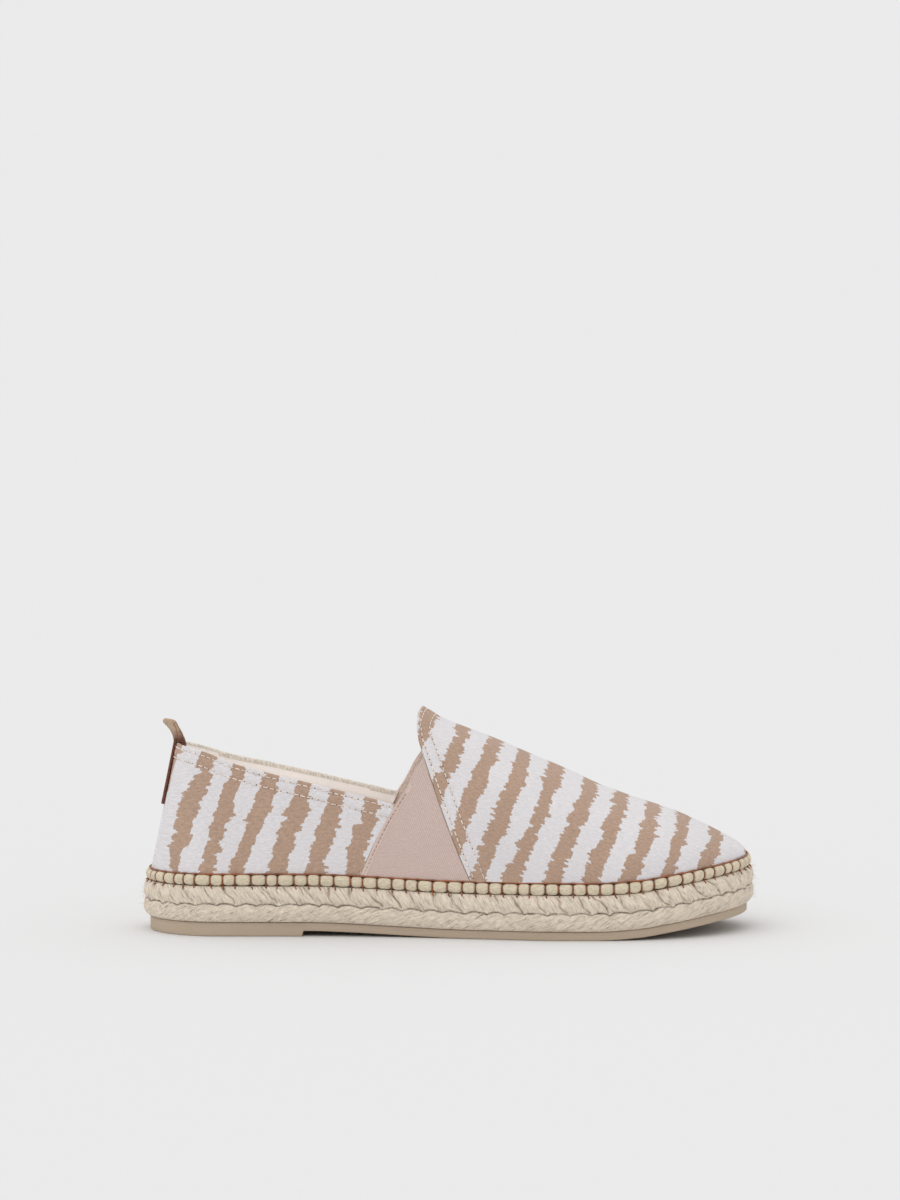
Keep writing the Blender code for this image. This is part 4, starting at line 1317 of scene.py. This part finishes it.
def make_top_thread():
    count = BEADS * 8
    turns = np.linspace(0, 2, count, endpoint=False)
    place = np.interp(turns, np.append(wrap_turns, wrap_turns[0] + 2), np.arange(BEADS + 1))
    swing = np.abs(np.sin(math.pi * place))
    path = ring_points(turns, FEATHER_INSET - 0.55 * MM - 0.25 * MM * swing,
                       CORD_DIAMETER + 2 * GAP + 0.10 * MM - 0.15 * MM * swing)
    closed = np.concatenate([path[-1:], path, path[:1]])
    along = unit(closed[2:] - closed[:-2])
    upright = np.tile((0.0, 0.0, 1.0), (count, 1))
    radii = TOP_THREAD_RADIUS * (1 - 0.15 * swing)
    points = circles(path, radii, upright, unit(np.cross(along, upright)), 6)
    return make_piece("thread_on_top", points, ring_walls(0, count, 6, closed=True), [waxed], sharp=80)


dress(make_wraps(), "cord")
dress(make_top_thread(), "cord")

# %% [markdown]
# ## The jute midsole
# The midsole is a braid of jute, laid in turns and pressed. On its side the braid shows as two
# rows: fat loops above, slanting down towards the right, and a smoother roll below whose fibres
# slant the other way. One dense skin around the sole is moved in and out by a height map that is
# worked out here: round loops, deep creases between them, a wandering groove between the rows, and
# bundles of fibre. A seeded noise keeps it uneven, as hand-laid jute is.

# %% Noise on a grid of points
def rough(x, y, seed, period):
    """Soft noise between -1 and 1 that repeats in x after a whole number of cells."""
    lattice = np.random.default_rng(seed).uniform(-1, 1, (period, 64))
    i, j = np.floor(x).astype(int), np.floor(y).astype(int)
    u, v = x - i, y - j
    u, v = u * u * (3 - 2 * u), v * v * (3 - 2 * v)
    corner = [lattice[(i + a) % period, (j + b) % 64] for a in (0, 1) for b in (0, 1)]
    return (corner[0] * (1 - u) + corner[2] * u) * (1 - v) + (corner[1] * (1 - u) + corner[3] * u) * v


# %% Height map of the plait
JUTE_COLUMNS = 1440
JUTE_ROWS = 50
LOOPS = 2 * round(ROUND_THE_SOLE / 2 / (9.6 * MM))
LOOP_SLANT = 6.5 * MM       # how far a loop moves along the sole from its top to its bottom
BUNDLE_WIDTH = 1.05 * MM
GROOVE_HEIGHT = 0.49
JUTE_SIDE = table("height curve", (0.00, 1.00), (0.05, 0.55), (0.14, 0.20), (0.28, 0.00), (0.44, 0.10),
                  (0.52, 0.12), (0.70, 0.00), (0.86, 0.18), (0.95, 0.50), (1.00, 0.85))

turn = np.linspace(0, 2, JUTE_COLUMNS, endpoint=False)[:, None]
turn[-1] = 2 - 1e-4         # nearly back at the first column, where the count of fibres starts again
height = np.concatenate([np.linspace(0, 0.05, 4), np.linspace(0.07, 0.95, JUTE_ROWS - 8),
                         np.linspace(0.97, 1, 4)])[None, :]
way = turn / 2 * LOOPS                                  # counted in loops
uneven = 0.20 * rough(way, height * 3 + 5, 31, LOOPS) + 0.07 * rough(way * 3, height * 6, 32, LOOPS * 3)
side_curve = JUTE_EDGE_CURVE * smooth(JUTE_SIDE, "curve", height, "height")
pitch = ROUND_THE_SOLE / LOOPS

in_upper = np.clip((height - GROOVE_HEIGHT) / (1 - GROOVE_HEIGHT), 0, 1)
loop = way - LOOP_SLANT / pitch * (1 - in_upper) ** 1.2 + uneven
q = loop - np.floor(loop)
groove = (GROOVE_HEIGHT + 0.055 * np.sin(math.pi * np.clip(q * 1.15 - 0.1, 0, 1)) ** 0.7 - 0.03
          + 0.018 * rough(way * 2, way * 0 + 3.5, 33, LOOPS * 2))
crease = np.minimum(q, 1 - q)
crease_depth = 0.7 + 0.5 * rough(np.floor(loop + 0.5), height * 2 + 9, 34, LOOPS)
round_loop = 0.62 * MM * (1 - np.clip(crease / 0.42, 0, 1) ** 0.7)
sharp_crease = 1.05 * MM * np.clip(crease_depth, 0.15, 1.3) * np.exp(-(crease / 0.055) ** 1.3)
upper_inset = (round_loop + sharp_crease) * ease(height, GROOVE_HEIGHT - 0.02, GROOVE_HEIGHT + 0.06)

lower_loop = way + LOOP_SLANT * 0.9 / pitch * height / GROOVE_HEIGHT * 0.9 + 0.25 * rough(
    way * 1.5, height * 2, 35, LOOPS * 3 // 2)
p = lower_loop - np.floor(lower_loop)
lower_crease = np.minimum(p, 1 - p)
lower_inset = (0.22 * MM * (1 - np.clip(lower_crease / 0.35, 0, 1))
               + 0.30 * MM * np.exp(-(lower_crease / 0.05) ** 2)) * (1 - ease(height, 0.40, 0.50))
groove_inset = 1.15 * MM * np.exp(-(np.abs(height - groove) / 0.032) ** 1.4)
groove_inset = groove_inset * (0.55 + 0.45 * (rough(way * 2 + 0.4, way * 0 + 7.2, 36, LOOPS * 2) > -0.35))

along_upper = way * pitch - LOOP_SLANT * (1 - in_upper)
along_lower = way * pitch + 1.5 * JUTE_HEIGHT * height
is_upper = ease(height, groove - 0.01, groove + 0.01)
bundle_count = round(ROUND_THE_SOLE / BUNDLE_WIDTH)
bundle_upper = rough(along_upper / ROUND_THE_SOLE * bundle_count, height * 2.2 + 11, 37, bundle_count)
bundle_lower = rough(along_lower / ROUND_THE_SOLE * bundle_count, height * 2.2 + 21, 38, bundle_count)
bundle = blend(bundle_lower, bundle_upper, is_upper)
lumps = rough(way * 2.3, height * 5 + 2, 39, round(LOOPS * 2.3))
jute_inset = (upper_inset + lower_inset + groove_inset - 0.26 * MM * bundle - 0.14 * MM * lumps
              + side_curve)
shut = np.minimum(ease(height, 0, 0.03), 1 - ease(height, 0.97, 1.0))
jute_inset = blend(JUTE_EDGE_CURVE * np.ones_like(jute_inset), jute_inset, shut)
jute_inset = np.maximum(jute_inset, -0.1 * MM)
print("jute:", LOOPS, "loops, relief up to", round(float(jute_inset.max()) / MM, 1), "mm")


# %% Jute
UPPER_FIBRE_SLANT, LOWER_FIBRE_SLANT = math.radians(-58), math.radians(28)
DEEP_CREASE = 1.5 * MM      # an inset that counts as fully deep, where the painted shade of the creases is darkest


def make_jute():
    jute = Finish("jute")
    fibre_place = jute.add("CombineXYZ", jute.attribute("across_fibre"),
                           jute.attribute("along_fibre"), 0.0).outputs[0]
    place = jute.place()
    strand = jute.span(jute.fibres(fibre_place, 1150.0, 150.0, 1.0, 3.0), 0.28, 0.72)
    hair = jute.span(jute.fibres(fibre_place, 2500.0, 330.0, 1.0, 2.0), 0.28, 0.72)
    blot = jute.noise(place, 110.0, 3.0)
    deep = jute.attribute("deep")
    crack = jute.math("MULTIPLY", jute.span(strand, 0.32, 0.0), jute.span(hair, 0.75, 0.25))
    shade = jute.tint(colour(238, 223, 204), (0.80, 1.10, strand), (0.80, 1.12, hair), (0.93, 1.06, blot))
    shade = jute.mix(jute.math("MULTIPLY", crack, 0.75), shade, colour(120, 100, 78))
    # Deep creases and the groove between the rows are darkened: painted shade.
    shade = jute.mix(jute.span(deep, 0.45, 1.0, 0.0, 0.62), shade, colour(122, 102, 74))
    relief = jute.math("ADD", strand, jute.math("MULTIPLY", hair, 0.5))
    return jute.done(shade, 0.9, jute.bump(relief, 0.40 * MM), sheen=0.15, specular=0.2)


x, y = ring(np.broadcast_to(turn, jute_inset.shape), jute_inset)
jute_points = np.stack([x, y, blend(jute_bottom(x), jute_top(x), np.broadcast_to(height, x.shape))], axis=-1)
rows = jute_points.shape[1]
jute_faces = grid_faces(0, JUTE_COLUMNS, rows, closed=True).tolist()
for j in (0, rows - 1):
    jute_faces += [tuple(k * rows + j for k in face) for face in crosswise(0, JUTE_COLUMNS)]
# deep carries the painted shade of the creases and the groove
deep = np.clip((jute_inset - side_curve) / DEEP_CREASE, 0, 1) * shut
slant = np.where(is_upper > 0.5, UPPER_FIBRE_SLANT, LOWER_FIBRE_SLANT)
flat_way, flat_height = way * pitch, height * JUTE_HEIGHT
along_fibre = flat_way * np.cos(slant) + flat_height * np.sin(slant) + is_upper
across_fibre = flat_height * np.cos(slant) - flat_way * np.sin(slant)
across_fibre = across_fibre + 0.5 * MM * rough(way * 2.1, height * 3, 41, round(LOOPS * 2.1))
fibre_values = {"deep": deep.ravel(), "along_fibre": along_fibre.ravel(),
                "across_fibre": across_fibre.ravel()}
jute_cloth = make_jute()
dress(make_piece("jute_braid", jute_points.reshape(-1, 3), jute_faces, [jute_cloth], None, fibre_values,
                 sharp=80), "jute", "jute_sole")

# %% [markdown]
# ## Loose hairs
# Jute sheds short hairs that stand off its surface and soften its outline. They are thin tubes with
# three sides, each with a slight bend, rooted in the braid and pointing mostly outwards.

# %% Jute hairs
HAIRS = 2600
HAIR_RADIUS = 0.065 * MM


def make_hairs():
    random = np.random.default_rng(45)
    points, faces = [], []
    steps = 4
    for k in range(HAIRS):
        i, j = random.integers(JUTE_COLUMNS), random.integers(5, rows - 3)
        root = jute_points[i, j]
        along = unit(jute_points[(i + 1) % JUTE_COLUMNS, j] - jute_points[i - 1, j])
        out = unit(np.cross(along, (0.0, 0.0, 1.0)))
        length = random.uniform(1.2, 4.2) * MM
        lean, rise = random.uniform(-1, 1), random.uniform(-0.9, 0.7)
        stand = random.uniform(0.10, 0.55)
        t = np.linspace(0, 1, steps)[:, None]
        start = unit(along * lean + np.array((0, 0, rise)) + out * stand)
        bend = unit(random.normal(size=3)) * random.uniform(0.1, 0.5)
        path = root - out * 0.2 * MM + length * (start * t + bend * t ** 2 * 0.5)
        path[:, 2] = np.maximum(path[:, 2], 0.5 * MM)
        faces += tube_faces(k * steps * 3, steps, 3)
        points.append(tube(path, HAIR_RADIUS * np.linspace(1, 0.35, steps), np.tile(out, (steps, 1)), 3))
    return make_piece("jute_hairs", np.concatenate(points), faces, [jute_cloth], sharp=80)


dress(make_hairs(), "jute")

# %% [markdown]
# ## Rubber outsole
# A thin sheet of rubber is glued under the jute, with a second layer under the heel whose front
# edge is a small step. The edge is cut by hand and sanded, so it is smooth and matt. Underneath,
# fine bars across the sole give grip, and they are real relief.

# %% Outsole
RUBBER_STATIONS = 220
RUBBER_EDGE = 0.7 * MM
TREAD_PITCH = 3.0 * MM
TREAD_DEPTH = 0.5 * MM
RUBBER_TOP_EDGE = 0.5 * MM
STEP_WIDTH = 0.3 * MM       # half of the slope in front of the heel part


def make_rubber():
    rubber = Finish("rubber")
    place = rubber.place()
    grain = rubber.noise(place, 1100.0, 2.0)
    sanded = rubber.fibres(place, 30.0, 30.0, 900.0, 2.0)
    blot = rubber.noise(place, 35.0, 3.0)
    shade = rubber.tint(colour(186, 168, 147), (0.90, 1.08, sanded), (0.94, 1.05, grain), (0.92, 1.07, blot))
    relief = rubber.math("ADD", grain, rubber.math("MULTIPLY", sanded, 0.7))
    return rubber.done(shade, 0.62, rubber.bump(relief, 0.06 * MM), specular=0.35)


def plate_ring(stations, inset, height):
    """One closed ring of points at the heights that a function of x gives."""
    x_out, y_out = edge("outer", share_at("outer", stations), inset)
    x_in, y_in = edge("inner", share_at("inner", stations[-2:0:-1]), inset)
    x, y = np.concatenate([x_out, x_in]), np.concatenate([y_out, y_in])
    return np.stack([x, y, height(x)], axis=-1)


def rounded_rings(stations, inset, top, radius, steps):
    """Rings that round the upper edge of a plate whose top lies at this height."""
    return [plate_ring(stations, inset + radius * (1 - math.cos(angle)),
                       lambda x: top(x) - radius * (1 - math.sin(angle)))
            for angle in np.linspace(0, math.pi / 2, steps)]


def make_plate(name, rings, material, sharp):
    """A closed plate from rings of points, with strips across the first and the last one."""
    count = len(rings[0])
    faces = ring_walls(0, len(rings), count) + crosswise(0, count)
    faces += crosswise((len(rings) - 1) * count, count)
    return make_piece(name, np.concatenate(rings), faces, [material], sharp=sharp)


def tread(x):
    lift_end = (HEEL_LIFT_END - 0.5) * SOLE_LENGTH
    return np.where(x < lift_end, 0.0, sheet_bottom(x))


def tread_bars(x):
    return tread(x) + TREAD_DEPTH * (0.5 + 0.5 * np.sign(np.sin(x * math.tau / TREAD_PITCH)))


def rubber_top(x):
    return sheet_bottom(x) + RUBBER_THICKNESS


def make_outsole():
    stations = (1 - np.cos(np.linspace(0, math.pi, RUBBER_STATIONS))) / 2
    step = np.array((-1, 1)) * STEP_WIDTH / SOLE_LENGTH + HEEL_LIFT_END
    stations = np.unique(np.concatenate([stations[np.abs(stations - HEEL_LIFT_END) > 0.003], step]))
    rings = [plate_ring(stations, RUBBER_INSET + 6 * MM, tread_bars),
             plate_ring(stations, RUBBER_INSET + 5.6 * MM, tread)]
    for angle in np.linspace(0, math.pi / 2, 5):
        rings.append(plate_ring(stations, RUBBER_INSET + RUBBER_EDGE * (1 - math.sin(angle)),
                                lambda x: tread(x) + RUBBER_EDGE * (1 - math.cos(angle))))
    rings += rounded_rings(stations, RUBBER_INSET, rubber_top, RUBBER_TOP_EDGE, 4)
    return make_plate("rubber_outsole", rings, make_rubber(), sharp=40)


dress(make_outsole(), "rubber", "outsole")

# %% [markdown]
# ## Insole
# Inside lies a sock of woven jute on a thin pad. Little of it is seen, but from above it closes
# the shoe. It is a flat plate whose upper edge is rounded, made from rings as the rubber is.

# %% Insole
INSOLE_WEAVE = 1.6 * MM
INSOLE_EDGE = 1.2 * MM


def make_insole_cloth():
    cloth = Finish("insole_cloth")
    place = cloth.place()
    split = cloth.add("SeparateXYZ", place)
    waves = []
    for way in split.outputs[:2]:
        waves.append(cloth.math("SINE", cloth.math("MULTIPLY", way, math.tau / INSOLE_WEAVE)))
    weave = cloth.math("MULTIPLY", *waves)
    fibre = cloth.noise(place, 1500.0, 2.0)
    checks = cloth.span(weave, -1.0, 1.0)
    shade = cloth.tint(colour(240, 227, 206), (0.86, 1.08, checks), (0.84, 1.12, fibre))
    relief = cloth.math("ADD", cloth.math("MULTIPLY", weave, 0.6), fibre)
    return cloth.done(shade, 0.92, cloth.bump(relief, 0.25 * MM), sheen=0.1, specular=0.2)


def insole_bottom(x):
    return jute_top(x) + GAP


def insole_top(x):
    return insole_bottom(x) + INSOLE_THICKNESS


def make_insole():
    stations = np.unique(np.concatenate([vamp_feet[vamp_feet > 0.6], np.linspace(0.3, 0.6, 60),
                                         evenly_round(0, 0.3, 70)]))
    inset = CORD_MIDDLE_INSET + SKIRT_RADIUS + WALL + 1.5 * GAP
    rings = [plate_ring(stations, inset, insole_bottom)]
    rings += rounded_rings(stations, inset, insole_top, INSOLE_EDGE, 5)
    return make_plate("insole_sock", rings, make_insole_cloth(), sharp=60)


dress(make_insole(), "lining", "insole")

# %% [markdown]
# ## Pull tab
# A strip of suede is folded over the collar at the back and sewn down along the back seam. Its
# loop leans back and is twisted a little, and it bares the tan inner face of the hide between dark
# cut edges. The strip is one closed loop of points, carried across its width in many steps, with
# its corners rounded.

# %% Pull tab
def make_suede():
    suede = Finish("suede")
    place = suede.place()
    nap = suede.span(suede.noise(place, 800.0, 3.0), 0.3, 0.7)
    blot = suede.noise(place, 160.0, 2.0)
    rim = suede.attribute("rim")
    loop = suede.attribute("loop")
    edge_grain = suede.math("ADD", rim, suede.span(blot, 0.2, 0.8, -0.2, 0.2))
    # The tan face darkens towards the base of the loop: painted shade.
    face = suede.mix(suede.span(loop, 0.08, 0.62), colour(108, 72, 58), colour(188, 160, 134))
    face = suede.tint(face, (0.80, 1.14, nap), (0.88, 1.10, blot))
    dark = suede.tint(colour(96, 58, 44), (0.7, 1.3, nap))
    hide = suede.mix(suede.span(edge_grain, 0.62, 0.92), face, dark)
    strap = suede.tint(colour(104, 58, 46), (0.65, 1.35, nap), (0.8, 1.2, blot))
    shade = suede.mix(suede.span(loop, -0.12, -0.02), strap, hide)
    return suede.done(shade, 0.88, suede.bump(nap, 0.25 * MM), sheen=0.2, specular=0.2)


def tab_section(across):
    """Section of the pull tab at one place across its width, as a closed line of points."""
    side = "outer" if across < 0 else "inner"
    share = abs(across) / rail(side)["length"]
    crown_here = crown(edge(side, share, FEATHER_INSET)[0])
    rim = abs(across) / (TAB_WIDTH / 2)
    thin = 1 - 0.45 * ease(rim, 0.85, 1.0)

    def on_wall(height, inset):
        return on_last(side, share, turn_to(0.0, height * HEEL_RISE / crown_here), inset)

    def loop_line(rise):
        middle = on_wall(1.0, WALL / 2)
        middle = middle + (-TAB_LEAN * rise ** 1.6 - across * math.sin(TAB_TWIST) * rise, 0, TAB_LOOP * rise)
        slope = -1.6 * TAB_LEAN * rise ** 0.6 / TAB_LOOP
        rear = np.array((-1, 0, slope)) / math.hypot(1, slope)
        return middle, blend(WALL / 2 + GAP + TAB_THICKNESS, TAB_THICKNESS, ease(rise, 0, 0.8)) * thin, rear

    def hug(height):
        return folded((1 - height) * HEEL_RISE)

    rounded = 1 - 0.10 * rim ** 4

    def loop_face(sign):
        """Points up the rear face of the loop, or up its front face if the sign is -1."""
        return [middle + sign * rear * thickness
                for middle, thickness, rear in map(loop_line, np.linspace(0.08, 1.0, 16) * rounded)]

    near_the_fold = (0.990, 0.994, 0.997, 1.0)
    down_back = np.concatenate([np.linspace(0.5, 0.98, 28), near_the_fold])
    down_front = np.concatenate([np.linspace(0.84, 0.98, 9), near_the_fold])
    lift = np.array((0, 0, 0.15 * MM))
    line = [on_wall(height, -GAP - TAB_THICKNESS * thin) for height in down_back]
    line += loop_face(1)
    middle, thickness, rear = loop_line(rounded)
    tip = np.array((rear[2], 0, -rear[0]))
    for angle in np.radians((60, 30, 0, -30, -60)):
        line.append(middle + (tip * math.cos(angle) + rear * math.sin(angle)) * thickness)
    line += loop_face(-1)[::-1]
    line += [on_wall(height, WALL + GAP + TAB_THICKNESS * thin + 1.0 * MM) for height in down_front[::-1]]
    line += [on_wall(height, WALL + GAP - hug(height)) for height in down_front]
    line += [on_wall(1.0, WALL + GAP - hug(1.0)) + lift, on_wall(1.0, hug(1.0) - GAP) + lift]
    line += [on_wall(height, hug(height) - GAP) for height in down_back[::-1]]
    base = on_wall(1.0, 0)[2]
    return np.array(line), np.array([(point[2] - base) / TAB_LOOP for point in line])


def turning(line):
    """Above zero when a closed line in the side view runs so that its inside lies along (d x Y)."""
    x, z = line[:, 0], line[:, 2]
    return float(np.sum(x * np.roll(z, -1) - np.roll(x, -1) * z))


def make_tab():
    shares = np.sin(np.linspace(-1, 1, 25) * math.pi / 2)
    sections, loops = zip(*(tab_section(share * TAB_WIDTH / 2) for share in shares))
    count = len(sections[0])
    faces = ring_walls(0, len(sections), count)
    last = (len(sections) - 1) * count
    neighbours = [(i, (i + 1) % count) for i in range(count)]
    points, rim, loop = np.concatenate(sections), np.repeat(np.abs(shares), count), np.concatenate(loops)
    rim = np.where((points[:, 1] < 0) & (loop > 0) & (rim < 0.999), 0.6 * rim, rim)
    for start, outward in ((0, -1), (last, 1)):
        line, along = points[start:start + count], loop[start:start + count]
        around = np.roll(line, -1, axis=0) - np.roll(line, 1, axis=0)
        inward = unit(np.cross(around, (0.0, 1.0, 0.0))) * np.sign(turning(line))
        inset = (0.12 + 0.30 * ease(along, 0.0, 0.25))[:, None] * MM
        first = len(points)
        points = np.concatenate([points, line + inward * inset + np.array((0, outward * 0.1 * MM, 0))])
        rim, loop = np.concatenate([rim, np.full(count, 0.3)]), np.concatenate([loop, along])
        faces += [(start + i, start + j, first + j, first + i) for i, j in neighbours]
        faces.append(tuple(range(first, first + count)))
    return make_piece("pull_tab_strip", points, faces, [make_suede()], None, {"rim": rim, "loop": loop},
                      sharp=60)


dress(make_tab(), "suede", "pull_tab")

# %% [markdown]
# ## Studio
# The shoe stands on pale paper that fills the picture, and the light is soft and comes from all
# around, most of it from above and from the camera's side. A large lamp overhead gives the gentle
# shade under the sole. Both lamps are far away, so that the paper is lit evenly, and its white is
# worked out so that it comes out exactly as pale as the sky behind it.

# %% Floor, lamps and sky
PAPER = 0.828
LAMP_LIGHT = 0.22


def make_paper():
    """Lit from above it comes out as pale as the sky behind it, so that no horizon shows."""
    paper = Finish("paper")
    place = paper.place()
    white = PAPER / (PAPER + LAMP_LIGHT)
    shade = paper.tint((white, white, white, 1.0), (0.998, 1.002, paper.noise(place, 3.0, 2.0)))
    return paper.done(shade, 1.0, specular=0.0)


sheet = bpy.data.meshes.new("floor")
sheet.from_pydata([(-400, -20, 0), (400, -20, 0), (400, 900, 0), (-400, 900, 0)], [], [(0, 1, 2, 3)])
sheet.materials.append(make_paper())
floor = bpy.data.objects.new("floor", sheet)
bpy.context.collection.objects.link(floor)

sky = bpy.data.worlds.new("sky")
bpy.context.scene.world = sky
sky.use_nodes = True
sky.node_tree.nodes["Background"].inputs["Color"].default_value = (PAPER, PAPER, PAPER, 1)
sky.node_tree.nodes["Background"].inputs["Strength"].default_value = 1.0


def add_lamp(name, tip, turn, share, softness):
    """A far lamp whose light is the same all over the floor. The share is of the lamp light."""
    lamp = bpy.data.lights.new(name, "SUN")
    lamp.angle = math.radians(softness)
    lamp.energy = math.pi * LAMP_LIGHT * share / math.cos(math.radians(tip))
    there = bpy.data.objects.new(name, lamp)
    bpy.context.collection.objects.link(there)
    there.location = (0, 0, 2)
    there.rotation_euler = (math.radians(tip), 0, math.radians(turn))
    return lamp


add_lamp("lamp_overhead", 12, -150, 0.6, 70)
add_lamp("lamp_front", 48, -28, 0.4, 50)
print("paper, sky and", len(bpy.data.lights), "lamps")
